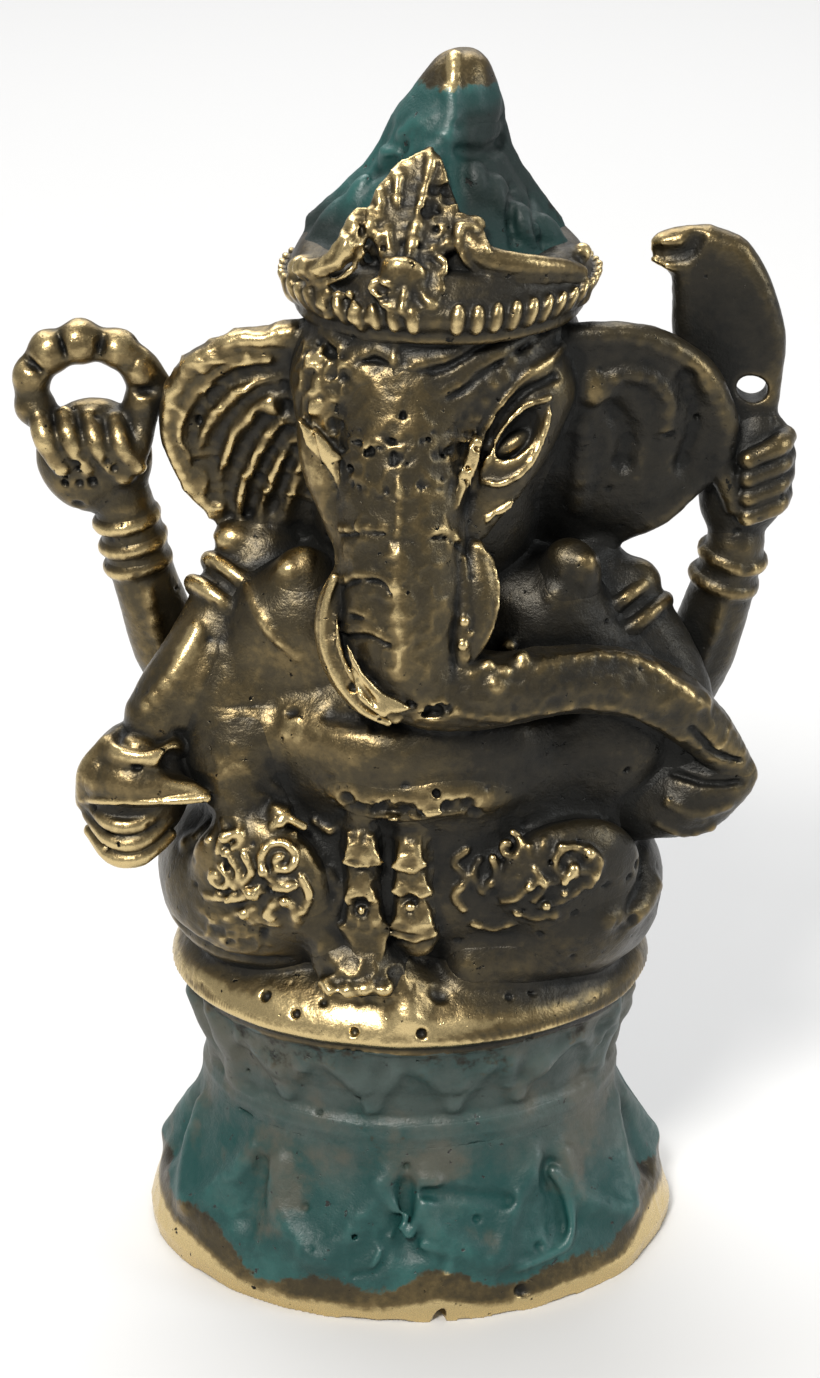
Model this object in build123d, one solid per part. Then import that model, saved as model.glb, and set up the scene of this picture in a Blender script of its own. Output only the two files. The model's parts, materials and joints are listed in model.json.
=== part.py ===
"""A cast brass statuette of a seated four-armed elephant-headed deity on a waisted lotus pedestal.

Lengths are millimetres. The origin is the middle of the footprint, on the floor; +Z is up, the figure
faces -Y, and +X is its own left. "right" and "left" in the names are the figure's own sides.
Each node is one pattern piece. A later piece is cut back by the ones it is joined to, so that
neighbours meet face to face.
"""

import os

from build123d import *

# Driving dimensions
HEIGHT = 100.0  # floor to the tip of the crown
FOOT_HALF_WIDTH = 22.4  # pedestal foot, half its width
OVAL = 0.81  # depth over width of every section of the pedestal
WALL = 2.6  # casting wall of the hollow pedestal
RIM_HEIGHT = 1.6  # upright edge of the foot
BELL_TOP = 14.2  # the bell ends and the ring begins
RING_TOP = 16.2
COLLAR_TOP = 23.6  # the collar ends and the seat begins
WAIST_HALF_WIDTH = 17.3
BEAD_PROUD = 0.9  # how far the waist's bead stands out
SEAT_HALF_WIDTH = 19.8
SEAT_OVERHANG = 0.8
SEAT_EDGE_TOP = 25.8
SEAT_CROWN = 28.4  # the seat's top is a low dome

BODY_X = 0.8  # the figure sits a little to its left of the pedestal's middle
HEAD_X = 2.6  # and the head leans further over
BELLY_Z = 45.5
CHEST_Z = 56.0
HIP_Z = 35.0
HEAD_Z = 73.5
BAND_Z = 82.3  # middle of the diadem
FINIAL_Z = 95.6  # the crown's hair ends and its brass tip begins
TIP_X = 4.0

ARM_ROOT_Y = 4.5  # the rear arms leave the back this far behind the middle
EAR_THICK = 2.4
EAR_ROOT_Y, EAR_ROOT_Z = -3.2, 69.0  # where an ear's plane crosses the side of the head
EAR_LEAN, EAR_SWEEP = 12.0, 9.0  # degrees: lobe forward, rim back
AXE_Y, AXE_THICK = 0.4, 3.0
BANGLE_THICK = 0.62
PLATE_DEPTH = 2.2  # the plaque's thickness


# ---- shape helpers ----
def ellipsoid(centre, radii, turn=(0, 0, 0)):
    """A solid ellipsoid with its half axes along the turned X, Y and Z."""
    return Location(centre, turn) * scale(Sphere(1), by=radii)


def oval_turning(*runs):
    """A solid of oval section, turned from a closed outline in half width and height.

    Each run is a list of points; a run of two is a straight line, a longer one is a smooth curve.
    """
    edges = [Line(*run) if len(run) == 2 else Spline(run) for run in runs]
    outline = Plane.XZ * make_face(Wire(edges))
    return scale(revolve(outline, Axis.Z), by=(1, OVAL, 1))


def limb(*stations):
    """A tapering round limb through stations of (point, radius), square to its own run at each."""
    spots = [Vector(*point) for point, _ in stations]
    sections = []
    for i, (_, radius) in enumerate(stations):
        ahead = spots[min(i + 1, len(spots) - 1)] - spots[max(i - 1, 0)]
        sections.append(Plane(origin=spots[i], z_dir=ahead) * Circle(radius))
    return loft(sections)


def plate(outline, thickness):
    """A flat plate in the XZ plane, from a closed smooth outline of (x, z)."""
    return extrude(Plane.XZ * make_face(Spline(outline, periodic=True)), thickness / 2, both=True)


def ring(centre, along, radius, thick):
    """A round ring about the direction along."""
    return Plane(origin=centre, z_dir=along).location * Torus(radius, thick)


# ---- pedestal ----
def base_bell():
    """The flared foot, open underneath, with an upright rim."""
    foot, waist, below = FOOT_HALF_WIDTH, WAIST_HALF_WIDTH, -1.0
    turned = oval_turning(
        [(foot - WALL, below), (foot, below)],
        [(foot, below), (foot, RIM_HEIGHT)],
        [(foot, RIM_HEIGHT), (foot - 1.0, 4.8), (foot - 3.0, 9.2), (waist, BELL_TOP)],
        [(waist, BELL_TOP), (waist - WALL, BELL_TOP)],
        [(waist - WALL, BELL_TOP), (foot - 3.4 - WALL, 9.2), (foot - 1.2 - WALL, 4.8), (foot - WALL, below)],
    )
    return split(turned, bisect_by=Plane.XY, keep=Keep.TOP)  # trimmed to one flat face to stand on


def base_ring():
    """The raised bead round the waist."""
    waist = WAIST_HALF_WIDTH
    middle = (BELL_TOP + RING_TOP) / 2
    return oval_turning(
        [(waist - WALL, BELL_TOP), (waist, BELL_TOP)],
        [(waist, BELL_TOP), (waist + BEAD_PROUD, middle), (waist, RING_TOP)],
        [(waist, RING_TOP), (waist - WALL, RING_TOP)],
        [(waist - WALL, RING_TOP), (waist - WALL, BELL_TOP)],
    )


def base_collar():
    """The upper half of the pedestal, opening out to carry the seat."""
    waist, top = WAIST_HALF_WIDTH, SEAT_HALF_WIDTH - SEAT_OVERHANG
    return oval_turning(
        [(waist - WALL, RING_TOP), (waist, RING_TOP)],
        [(waist, RING_TOP), (waist + 0.4, 19.2), (top, COLLAR_TOP)],
        [(top, COLLAR_TOP), (top - WALL, COLLAR_TOP)],
        [(top - WALL, COLLAR_TOP), (waist - WALL, RING_TOP)],
    )


def seat_slab():
    """The closed plate that the figure sits on."""
    under, edge = SEAT_HALF_WIDTH - SEAT_OVERHANG, SEAT_HALF_WIDTH
    return oval_turning(
        [(0, COLLAR_TOP), (under, COLLAR_TOP)],
        [(under, COLLAR_TOP), (edge, COLLAR_TOP + 0.9)],
        [(edge, COLLAR_TOP + 0.9), (edge - 0.2, SEAT_EDGE_TOP)],
        [(edge - 0.2, SEAT_EDGE_TOP), (12.0, SEAT_CROWN - 0.6), (0, SEAT_CROWN)],
        [(0, SEAT_CROWN), (0, COLLAR_TOP)],
    )


# ---- seated body ----
def torso():
    belly = ellipsoid((BODY_X, -3.2, BELLY_Z), (14.2, 11.0, 10.4))
    chest = ellipsoid((BODY_X, 0.8, CHEST_Z), (13.4, 8.0, 8.8))
    hips = ellipsoid((BODY_X, 1.4, HIP_Z), (16.4, 10.2, 9.4))
    return belly + chest + hips


def right_thigh():
    return ellipsoid((-11.4, -3.4, 33.8), (8.8, 9.4, 8.0), (0, 0, 18))


def left_thigh():
    return ellipsoid((12.2, -3.8, 33.2), (8.0, 9.2, 7.2), (0, 0, -18))


def right_shin():
    """The raised knee and the shin that comes down in front of the lap."""
    return limb(
        ((-13.2, -7.6, 46.0), 2.1),
        ((-12.6, -8.8, 42.8), 3.1),
        ((-9.6, -11.0, 37.8), 2.9),
        ((-6.0, -12.4, 32.6), 2.2),
    )


def right_foot():
    return ellipsoid((-4.4, -13.2, 30.8), (3.4, 3.2, 2.0), (0, 0, 20))


def left_shin():
    """The folded shin lying along the seat under the left thigh."""
    return limb(((17.0, -7.6, 29.6), 2.4), ((11.0, -11.4, 29.4), 2.7), ((5.0, -12.6, 29.0), 2.0))


def sash_fold(x, z, tall):
    """One pleat of the waist cloth, hanging in front of the lap."""
    block = Box(3.4, 5.0, tall)
    return Location((x, -12.6, z)) * block.fillet(0.9, block.edges())


def waist_belt():
    """The band that the belly hangs over."""
    band = scale(Torus(13.0, 1.8), by=(1, 0.84, 1.1))
    front = Location((3.5, -14, 0)) * Box(25, 20, 12)
    return Location((BODY_X, -3.2, 42.6)) * (band & front)


# ---- head ----
def head():
    skull = ellipsoid((HEAD_X, -1.8, HEAD_Z + 1.4), (11.4, 9.8, 10.6))
    jaw = ellipsoid((HEAD_X - 1.6, -1.6, 64.0), (8.4, 7.2, 7.4))
    return skull + jaw


def trunk():
    """Down over the chest, then across to the hand at the figure's left."""
    return limb(
        ((0.4, -8.4, 73.0), 6.0),
        ((-0.2, -10.6, 67.0), 5.4),
        ((-0.8, -11.6, 61.0), 5.1),
        ((0.6, -12.4, 56.4), 4.4),
        ((5.6, -13.0, 54.6), 3.1),
        ((11.0, -12.4, 54.9), 2.3),
        ((17.0, -10.8, 54.6), 2.0),
        ((22.6, -8.8, 50.0), 1.9),
        ((25.2, -7.8, 45.8), 1.5),
    )


def right_tusk():
    return limb(((-4.8, -8.8, 64.6), 1.7), ((-6.4, -13.0, 59.4), 1.5), ((-3.6, -16.2, 54.0), 0.8))


def left_tusk():
    """The tusk at the figure's left, broken short."""
    return limb(((5.0, -8.4, 66.0), 1.8), ((5.6, -12.8, 61.4), 1.6), ((5.0, -14.6, 57.8), 1.2))


def ear(outline, root_x, side):
    """A fan-shaped ear, swept back at its rim and leaning forward at its lobe."""
    root = Location((root_x, 0, EAR_ROOT_Z))
    turn = root * Rotation(EAR_LEAN, 0, side * EAR_SWEEP) * root.inverse()
    return Location((0, EAR_ROOT_Y, 0)) * turn * plate(outline, EAR_THICK)


def right_ear():
    outline = [
        (-6.6, 80.0),
        (-13.2, 79.8),
        (-18.0, 76.2),
        (-19.4, 71.0),
        (-17.4, 65.0),
        (-12.8, 60.4),
        (-8.8, 57.6),
        (-5.6, 62.4),
    ]
    return ear(outline, -7.0, -1)


def left_ear():
    outline = [
        (11.6, 80.0),
        (18.0, 79.6),
        (23.4, 76.0),
        (25.6, 70.6),
        (22.8, 65.4),
        (17.4, 62.0),
        (12.4, 58.0),
        (8.8, 62.8),
    ]
    return ear(outline, 12.0, 1)


def right_earring():
    return ellipsoid((-8.6, -8.0, 57.8), (2.2, 1.9, 2.3))


def left_earring():
    return ellipsoid((12.2, -7.2, 58.2), (2.1, 1.9, 2.2))


# ---- crown ----
def crown_band():
    """The twisted diadem."""
    band = scale(Torus(11.6, 1.5), by=(1, 0.83, 1))
    return Location((HEAD_X, -2.0, BAND_Z), (6, 0, 0)) * band


def crown_hair():
    """The piled hair, narrowing to the tip."""
    stations = (
        (BAND_Z - 0.6, HEAD_X, 10.8, 9.0),
        (86.0, HEAD_X + 0.2, 9.8, 8.2),
        (90.0, HEAD_X + 0.5, 6.0, 5.6),
        (FINIAL_Z, TIP_X, 2.7, 2.8),
    )
    return loft(
        [Location((x, -0.6, z)) * Ellipse(half_x, half_y) for z, x, half_x, half_y in stations]
    )


def crown_finial():
    """The polished tip."""
    stations = ((FINIAL_Z, 2.7, 2.8), (98.4, 2.2, 2.2), (HEIGHT, 1.5, 1.4))
    return loft([Location((TIP_X, -0.6, z)) * Ellipse(a, b) for z, a, b in stations])


def crown_plaque():
    """The pointed plate over the brow."""
    outline = [
        (1.0, 94.6),
        (-2.2, 90.6),
        (-3.4, 86.4),
        (-2.6, 82.6),
        (0.4, 80.8),
        (3.2, 83.0),
        (4.0, 87.0),
        (3.0, 91.2),
    ]
    tilt = Location((0, -9.8, 86.0)) * Rotation(-34, 0, 0) * Location((0, 0, -86.0))
    return tilt * plate(outline, PLATE_DEPTH)


def crown_leaf(side):
    """A curled leaf lying along the diadem at one side of the plaque."""
    start_x = HEAD_X - 1.2
    stations = [
        ((start_x + side * 4.4, -9.6, 87.6), 1.3),
        ((start_x + side * 6.6, -9.0, 85.6), 1.6),
        ((start_x + side * 9.6, -7.0, 84.6), 1.2),
        ((start_x + side * 11.6 + 0.6, -4.0, 84.2), 0.8),
    ]
    return limb(*stations)


# ---- arms ----
def rear_right_arm():
    return limb(
        ((-12.0, ARM_ROOT_Y, 51.0), 3.4),
        ((-17.6, ARM_ROOT_Y - 0.6, 47.4), 3.4),
        ((-21.0, 2.4, 50.6), 3.2),
        ((-21.9, 1.0, 56.4), 2.8),
        ((-22.8, 0.0, 64.4), 2.4),
    )


def rear_left_arm():
    return limb(
        ((12.6, ARM_ROOT_Y, 51.0), 3.4),
        ((18.8, ARM_ROOT_Y - 0.6, 45.8), 3.4),
        ((23.0, 2.4, 48.6), 3.2),
        ((24.6, 1.0, 53.8), 2.9),
        ((25.9, 0.0, 61.0), 2.4),
    )


def rear_right_hand():
    return ellipsoid((-24.6, -0.4, 68.4), (4.6, 2.8, 4.8), (0, -14, 0))


def rear_left_hand():
    return ellipsoid((26.5, -0.2, 66.4), (3.9, 2.8, 6.0), (0, 10, 0))


def noose_loop():
    """The looped cord held up in the rear right hand."""
    return Location((-24.7, -0.6, 74.6)) * Rotation(90, 0, 0) * scale(Torus(4.1, 1.35), by=(1.06, 0.86, 1))


def axe_blade():
    """The axe head with its hooked tip, above the rear left hand."""
    outline = [
        (22.6, 86.2),
        (18.2, 85.2),
        (18.4, 83.0),
        (19.8, 80.0),
        (20.6, 75.4),
        (23.4, 71.4),
        (27.6, 71.0),
        (28.6, 76.4),
        (26.8, 82.6),
    ]
    grip_gap = Location((26.2, 0, 73.8)) * Rotation(90, 0, 0) * Cylinder(1.1, AXE_THICK + 1)
    return Location((0, AXE_Y, 0)) * (plate(outline, AXE_THICK) - grip_gap)


def front_right_arm():
    return limb(
        ((-11.4, -1.4, 60.8), 3.3),
        ((-15.0, -3.8, 57.4), 3.1),
        ((-18.0, -6.0, 53.4), 2.9),
        ((-20.0, -7.4, 49.6), 2.5),
    )


def front_left_arm():
    return limb(
        ((13.6, -0.8, 59.2), 3.3),
        ((17.6, -2.4, 55.2), 3.2),
        ((20.6, -4.2, 50.4), 3.1),
        ((21.6, -5.6, 45.8), 2.9),
    )


def front_right_hand():
    return ellipsoid((-21.4, -8.2, 43.4), (4.5, 4.1, 6.3), (0, 12, 0))


def front_left_hand():
    return ellipsoid((22.2, -6.8, 42.2), (5.0, 4.0, 4.6), (0, 30, 0))


def broken_tusk():
    """The broken-off tusk that the front right hand holds across the belly."""
    return limb(((-22.4, -12.4, 46.6), 2.3), ((-19.2, -12.6, 45.8), 1.7), ((-15.6, -12.4, 45.0), 0.8))


# ---- ornaments: groups of like pieces, one node each ----
def bangles(centres, along, radius):
    return [ring(centre, along, radius, BANGLE_THICK) for centre in centres]


def rear_right_bangles():
    return bangles([(-22.5, 0.2, 63.0), (-22.4, 0.4, 61.2), (-22.3, 0.6, 59.4)], (-0.1, -0.06, 1), 2.55)


def rear_left_bangles():
    return bangles([(25.6, 0.3, 59.8), (25.2, 0.4, 57.8)], (0.2, -0.1, 1), 2.6)


def front_right_armlets():
    return bangles([(-13.6, -2.9, 58.8), (-14.9, -3.8, 57.4)], (-0.6, -0.42, -0.62), 3.2)


def front_left_armlets():
    return bangles([(16.4, -1.9, 56.6), (17.6, -2.5, 55.1)], (0.6, -0.3, -0.75), 3.3)


def necklace():
    """The string across the upper chest, seen at both sides of the trunk."""
    return limb(
        ((-10.4, -2.6, 60.4), 0.9),
        ((-7.0, -6.4, 57.0), 0.9),
        ((BODY_X, -10.2, 53.8), 0.9),
        ((8.6, -6.4, 57.0), 0.9),
        ((12.0, -2.6, 60.4), 0.9),
    )


def thigh_scroll(side):
    """The raised cloth ornament on one thigh."""
    centre = (BODY_X + side * 12.2, -12.0, 37.6)
    return ellipsoid(centre, (4.6, 2.4, 3.8), (24, 0, side * 26))


# Every node, in the order the pieces are fitted: each is cut back by the ones above it.
ASSEMBLY = {
    "base_bell": base_bell,
    "base_ring": base_ring,
    "base_collar": base_collar,
    "seat_slab": seat_slab,
    "torso": torso,
    "right_thigh": right_thigh,
    "left_thigh": left_thigh,
    "right_shin": right_shin,
    "right_foot": right_foot,
    "left_shin": left_shin,
    "right_sash_fold": lambda: sash_fold(-2.6, 37.6, 10.4),
    "left_sash_fold": lambda: sash_fold(1.2, 38.0, 9.6),
    "waist_belt": waist_belt,
    "head": head,
    "trunk": trunk,
    "right_tusk": right_tusk,
    "left_tusk": left_tusk,
    "right_ear": right_ear,
    "left_ear": left_ear,
    "right_earring": right_earring,
    "left_earring": left_earring,
    "crown_band": crown_band,
    "crown_hair": crown_hair,
    "crown_finial": crown_finial,
    "crown_plaque": crown_plaque,
    "right_crown_leaf": lambda: crown_leaf(-1),
    "left_crown_leaf": lambda: crown_leaf(1),
    "rear_right_arm": rear_right_arm,
    "rear_left_arm": rear_left_arm,
    "rear_right_hand": rear_right_hand,
    "rear_left_hand": rear_left_hand,
    "noose_loop": noose_loop,
    "axe_blade": axe_blade,
    "front_right_arm": front_right_arm,
    "front_left_arm": front_left_arm,
    "front_right_hand": front_right_hand,
    "front_left_hand": front_left_hand,
    "broken_tusk": broken_tusk,
    "rear_right_bangles": rear_right_bangles,
    "rear_left_bangles": rear_left_bangles,
    "front_right_armlets": front_right_armlets,
    "front_left_armlets": front_left_armlets,
    "necklace": necklace,
    "right_thigh_scroll": lambda: thigh_scroll(-1),
    "left_thigh_scroll": lambda: thigh_scroll(1),
}


def boxes_meet(a, b):
    across = a.min.X < b.max.X and b.min.X < a.max.X
    deep = a.min.Y < b.max.Y and b.min.Y < a.max.Y
    return across and deep and a.min.Z < b.max.Z and b.min.Z < a.max.Z


def build():
    os.makedirs("parts", exist_ok=True)
    made = []
    for name, shape_of in ASSEMBLY.items():
        pieces = shape_of()
        fitted = []
        for piece in pieces if isinstance(pieces, list) else [pieces]:
            box = piece.bounding_box()
            for earlier, earlier_box in made:
                if boxes_meet(box, earlier_box):
                    piece = piece - earlier
            fitted += piece.solids()
        node = Compound(fitted)
        made.append((node, node.bounding_box()))
        export_step(node, f"parts/{name}.step")
        print(f"{name}: {len(fitted)} solid(s), {node.volume:.0f} cubic mm")


build()
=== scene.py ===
"""A small cast brass statuette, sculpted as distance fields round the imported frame.

Each CAD node gets its own lump of clay: a signed distance in millimetres, negative inside, on that node's
window of one shared grid. Balls, tubes, plates and carved lines build it up in the row frame. All the clay
is then blended into one casting, roughened, and split again along the lines where one node's clay meets the
next, so that every node is a closed mesh of its own.
"""

import json
import math

import bpy
import numpy as np
import openvdb as vdb
from mathutils import Euler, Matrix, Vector


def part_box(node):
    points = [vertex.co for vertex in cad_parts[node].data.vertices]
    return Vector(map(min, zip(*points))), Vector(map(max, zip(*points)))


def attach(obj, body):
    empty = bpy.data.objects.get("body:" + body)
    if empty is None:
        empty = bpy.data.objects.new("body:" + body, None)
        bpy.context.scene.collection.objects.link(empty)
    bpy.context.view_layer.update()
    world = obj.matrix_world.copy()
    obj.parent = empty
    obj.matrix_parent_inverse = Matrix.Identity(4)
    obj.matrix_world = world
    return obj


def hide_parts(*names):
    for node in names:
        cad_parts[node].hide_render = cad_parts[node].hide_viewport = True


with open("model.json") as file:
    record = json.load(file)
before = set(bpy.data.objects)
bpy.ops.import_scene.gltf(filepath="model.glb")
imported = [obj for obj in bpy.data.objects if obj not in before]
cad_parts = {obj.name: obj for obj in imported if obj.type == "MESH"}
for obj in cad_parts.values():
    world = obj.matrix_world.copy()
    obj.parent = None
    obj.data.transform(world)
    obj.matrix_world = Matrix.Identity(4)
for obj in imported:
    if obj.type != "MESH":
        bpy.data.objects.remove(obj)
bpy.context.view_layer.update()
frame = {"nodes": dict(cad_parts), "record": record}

MM = 0.001
VOXEL = 0.2  # grid spacing, mm
FAR = 4.0  # a distance that means "nowhere near", mm
MARGIN = 2.0  # how far a shape is worked out beyond its surface at least, mm
ROOM = 4.0  # how far a node's window runs past its box, mm
GRID_ROOM = 2.0  # clear space round the whole grid, mm
SUNK = 0.4  # how far a raised line's middle lies under the surface, of its radius
rng = np.random.default_rng(20)


def box_mm(node):
    """A node's lowest and highest corner, in millimetres."""
    low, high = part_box(node)
    return np.array(low) / MM, np.array(high) / MM


# ---- the shared grid ----
corners = [box_mm(node) for node in frame["nodes"]]
GRID_LOW = np.floor(np.min([low for low, _ in corners], axis=0)) - GRID_ROOM
grid_high = np.max([high for _, high in corners], axis=0) + GRID_ROOM
GRID_SIZE = np.ceil((grid_high - GRID_LOW) / VOXEL).astype(int) + 1


def soft_min(a, b, k):
    """The smaller of two distances, rounded over k millimetres where they are close."""
    h = np.maximum(k - np.abs(a - b), 0.0)
    return np.minimum(a, b) - h * h * (0.25 / k)


def soft_max(a, b, k):
    """The larger of two distances, rounded in the same way."""
    return -soft_min(-a, -b, k)


def spill(k):
    """How far beyond its surface a shape with a fillet of k is worked out, mm."""
    return max(MARGIN, k + 0.4)


def curve(points, step=0.5):
    """A smooth curve through points, about step millimetres apart; extra columns ride along."""
    p = np.asarray(points, float)
    if len(p) < 3:
        n = max(2, int(np.linalg.norm(p[-1, :3] - p[0, :3]) / step) + 1)
        return p[0] + (p[-1] - p[0]) * np.linspace(0, 1, n)[:, None]
    ends = np.vstack([2 * p[0] - p[1], p, 2 * p[-1] - p[-2]])
    out = []
    for i in range(1, len(ends) - 2):
        a, b, c, d = ends[i - 1 : i + 3]
        n = max(2, int(np.linalg.norm((c - b)[:3]) / step) + 1)
        t = np.linspace(0, 1, n, endpoint=False)[:, None]
        bend = 2 * b + (c - a) * t + (2 * a - 5 * b + 4 * c - d) * t**2
        out.append(0.5 * (bend + (3 * b - a - 3 * c + d) * t**3))
    return np.vstack([*out, p[-1:]])


def noise(shape, cell, seed):
    """Smooth random values of about unit size, one random number per cell of that many millimetres."""
    source = np.random.default_rng(seed)
    coarse = source.standard_normal([int(n * VOXEL / cell) + 3 for n in shape]).astype(np.float32)
    for axis, n in enumerate(shape):
        s = np.arange(n) * VOXEL / cell
        i = s.astype(int)
        t = (s - i).astype(np.float32)
        t = t * t * (3 - 2 * t)
        t = t.reshape([-1 if a == axis else 1 for a in range(3)])
        coarse = np.take(coarse, i, axis=axis) * (1 - t) + np.take(coarse, i + 1, axis=axis) * t
    return coarse


def turned(x, y, z, middle, turn):
    """Coordinates about a middle, on axes turned by Euler angles in degrees."""
    axes = np.array(Euler([math.radians(t) for t in turn]).to_matrix()).T
    dx, dy, dz = x - middle[0], y - middle[1], z - middle[2]
    return [row[0] * dx + row[1] * dy + row[2] * dz for row in axes]


class Clay:
    """One node's clay on its own window of the grid."""

    def __init__(self, node, blend=0.7, room=ROOM):
        low, high = box_mm(node)
        first = np.maximum(((low - room - GRID_LOW) / VOXEL).astype(int), 0)
        last = np.minimum(np.ceil((high + room - GRID_LOW) / VOXEL).astype(int) + 1, GRID_SIZE)
        self.node, self.blend = node, blend  # blend: how softly this clay joins the casting, mm
        self.window = tuple(slice(a, b) for a, b in zip(first, last))
        self.low = GRID_LOW + first * VOXEL
        self.d = np.full(last - first, FAR, np.float32)
        self.middle, self.half = (low + high) / 2, (high - low) / 2

    def region(self, low, high):
        """The part of the window between two corners, and its coordinates as three broadcasting arrays."""
        a = np.clip(np.floor((np.asarray(low) - self.low) / VOXEL).astype(int), 0, self.d.shape)
        b = np.clip(np.ceil((np.asarray(high) - self.low) / VOXEL).astype(int) + 1, 0, self.d.shape)
        cut = tuple(slice(i, j) for i, j in zip(a, b))
        x, y, z = (
            (self.low[axis] + VOXEL * np.arange(a[axis], b[axis])).astype(np.float32) for axis in range(3)
        )
        return cut, x[:, None, None], y[None, :, None], z[None, None, :]

    def whole(self):
        """The whole window's coordinates as three broadcasting arrays."""
        return self.region(self.low, self.low + VOXEL * np.array(self.d.shape))[1:]

    def merge(self, cut, d, k, carve=False):
        """Add a shape to the clay, or carve it away, with a fillet of about k millimetres."""
        if 0 not in d.shape:
            now, d = self.d[cut], d.astype(np.float32)
            self.d[cut] = soft_max(now, -d, k) if carve else soft_min(now, d, k)
        return self

    def ball(self, centre, radii, turn=(0, 0, 0), k=0.6, carve=False):
        """An ellipsoid, its axes turned by Euler angles in degrees."""
        radii = np.broadcast_to(np.asarray(radii, float), 3)
        centre = np.asarray(centre, float)
        reach = max(radii) + spill(k)
        cut, x, y, z = self.region(centre - reach, centre + reach)
        near = far = 0.0
        for u, r in zip(turned(x, y, z, centre, turn), radii):
            near = near + (u / r) ** 2
            far = far + (u / r**2) ** 2
        near, far = np.sqrt(near), np.sqrt(far)
        return self.merge(cut, near * (near - 1.0) / np.maximum(far, 1e-4), k, carve)

    def knob(self, x, z, deep, radii, turn=(0, 0, 0), k=0.6, carve=False):
        """An ellipsoid whose middle lies that deep under the front at (x, z)."""
        return self.ball((x, float(self.front(x, z)[0]) + deep, z), radii, turn, k, carve)

    def tube(self, points, radius=None, k=0.6, carve=False, squash=1.0, smooth=True):
        """A round tube through points (x, y, z) or (x, y, z, radius), flattened front to back by squash."""
        p = np.asarray(points, float)
        if radius is not None:
            p = np.column_stack([p[:, :3], np.broadcast_to(radius, len(p))])
        if smooth:
            p = curve(p, step=max(0.5, float(p[:, 3].min()) * 0.7))
        reach = p[:, 3].max() + spill(k)
        cut, x, y, z = self.region(p[:, :3].min(0) - reach, p[:, :3].max(0) + reach)
        d = np.full(np.broadcast_shapes(x.shape, y.shape, z.shape), FAR, np.float32)
        if 0 in d.shape:
            return self
        for a, b in zip(p[:-1], p[1:]):
            seg = max(a[3], b[3]) + spill(k)
            lo, hi = np.minimum(a, b)[:3] - seg, np.maximum(a, b)[:3] + seg
            spot = tuple(slice(*np.searchsorted(c.ravel(), ends)) for c, ends in zip((x, y, z), zip(lo, hi)))
            sx, sy, sz = x[spot[0]], y[:, spot[1]], z[:, :, spot[2]]
            if 0 in (sx.size, sy.size, sz.size):
                continue
            ux, uy, uz, grow = b - a
            long2 = max(ux * ux + uy * uy + uz * uz, 1e-9)
            px, py, pz = sx - a[0], sy - a[1], sz - a[2]
            t = np.clip((px * ux + py * uy + pz * uz) / long2, 0, 1)
            gap = np.sqrt((px - t * ux) ** 2 + ((py - t * uy) / squash) ** 2 + (pz - t * uz) ** 2)
            d[spot] = np.minimum(d[spot], (gap - (a[3] + t * grow)) * min(squash, 1.0))
        return self.merge(cut, d, k, carve)

    def beads(self, points, radius, pitch, k=0.2):
        """A row of balls along a curve."""
        line = curve(points, step=0.2)
        run = np.concatenate([[0], np.cumsum(np.linalg.norm(np.diff(line[:, :3], axis=0), axis=1))])
        count = max(1, int(round(run[-1] / pitch)))
        for s in (np.arange(count) + 0.5) * run[-1] / count:
            at = [np.interp(s, run, line[:, axis]) for axis in range(3)]
            self.ball(at, radius, k=k)
        return self

    def steps_in(self, x, z, order):
        """How many voxels in, from one side of the window, the clay begins at each (x, z)."""
        at = [np.round((np.atleast_1d(c) - self.low[axis]) / VOXEL).astype(int) for c,
              axis in ((x, 0), (z, 2))]
        column = self.d[np.clip(at[0], 0, self.d.shape[0] - 1), ::order,
                        np.clip(at[1], 0, self.d.shape[2] - 1)]
        inside = column < 0
        return np.where(inside.any(1), inside.argmax(1), column.argmin(1))

    def front(self, x, z, lift=0.0):
        """The y of this clay's front surface at each (x, z), moved out by lift."""
        return self.low[1] + self.steps_in(x, z, 1) * VOXEL - lift

    def back(self, x, z):
        """The y of this clay's back surface at each (x, z)."""
        return self.low[1] + (self.d.shape[1] - 1 - self.steps_in(x, z, -1)) * VOXEL

    def laid(self, points, lift=0.0):
        """Points (x, z) laid on this clay's front."""
        p = np.asarray(points, float)
        return np.column_stack([p[:, 0], self.front(p[:, 0], p[:, 1], lift), p[:, 1]])

    def ridge(self, points, radius, k=0.5, lift=0.0, carve=False):
        """A raised or carved line along (x, z) points on the front."""
        line = curve(np.insert(np.asarray(points, float), 1, 0, axis=1))
        sunk = 0.0 if carve else SUNK * radius
        return self.tube(self.laid(line[:, [0, 2]], lift - sunk), radius, k, carve, smooth=False)

    def eyelet(self, x, z, radius, thick):
        """A small raised ring on the front."""
        centre = (x, float(self.front(x, z)[0]) - 0.1, z)
        return self.tube(ring_points(centre, (0, 1, -0.4), radius), thick, k=0.12, smooth=False)

    def column(self, stations):
        """An upright turned shape through (z, x, y, half width, half depth)."""
        s = np.asarray(stations, float)
        wide = s[:, 3:].max() + MARGIN
        low = (s[:, 1].min() - wide, s[:, 2].min() - wide, s[0, 0] - 1.0)
        high = (s[:, 1].max() + wide, s[:, 2].max() + wide, s[-1, 0] + MARGIN)
        cut, x, y, z = self.region(low, high)
        cx, cy, rx, ry = (np.interp(z, s[:, 0], s[:, i]) for i in range(1, 5))
        d = (np.sqrt(((x - cx) / rx) ** 2 + ((y - cy) / ry) ** 2) - 1) * np.minimum(rx, ry) * 0.8
        return self.merge(cut, soft_max(d, np.maximum(s[0, 0] - z, z - s[-1, 0]), 1.0), 0.6)

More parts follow.
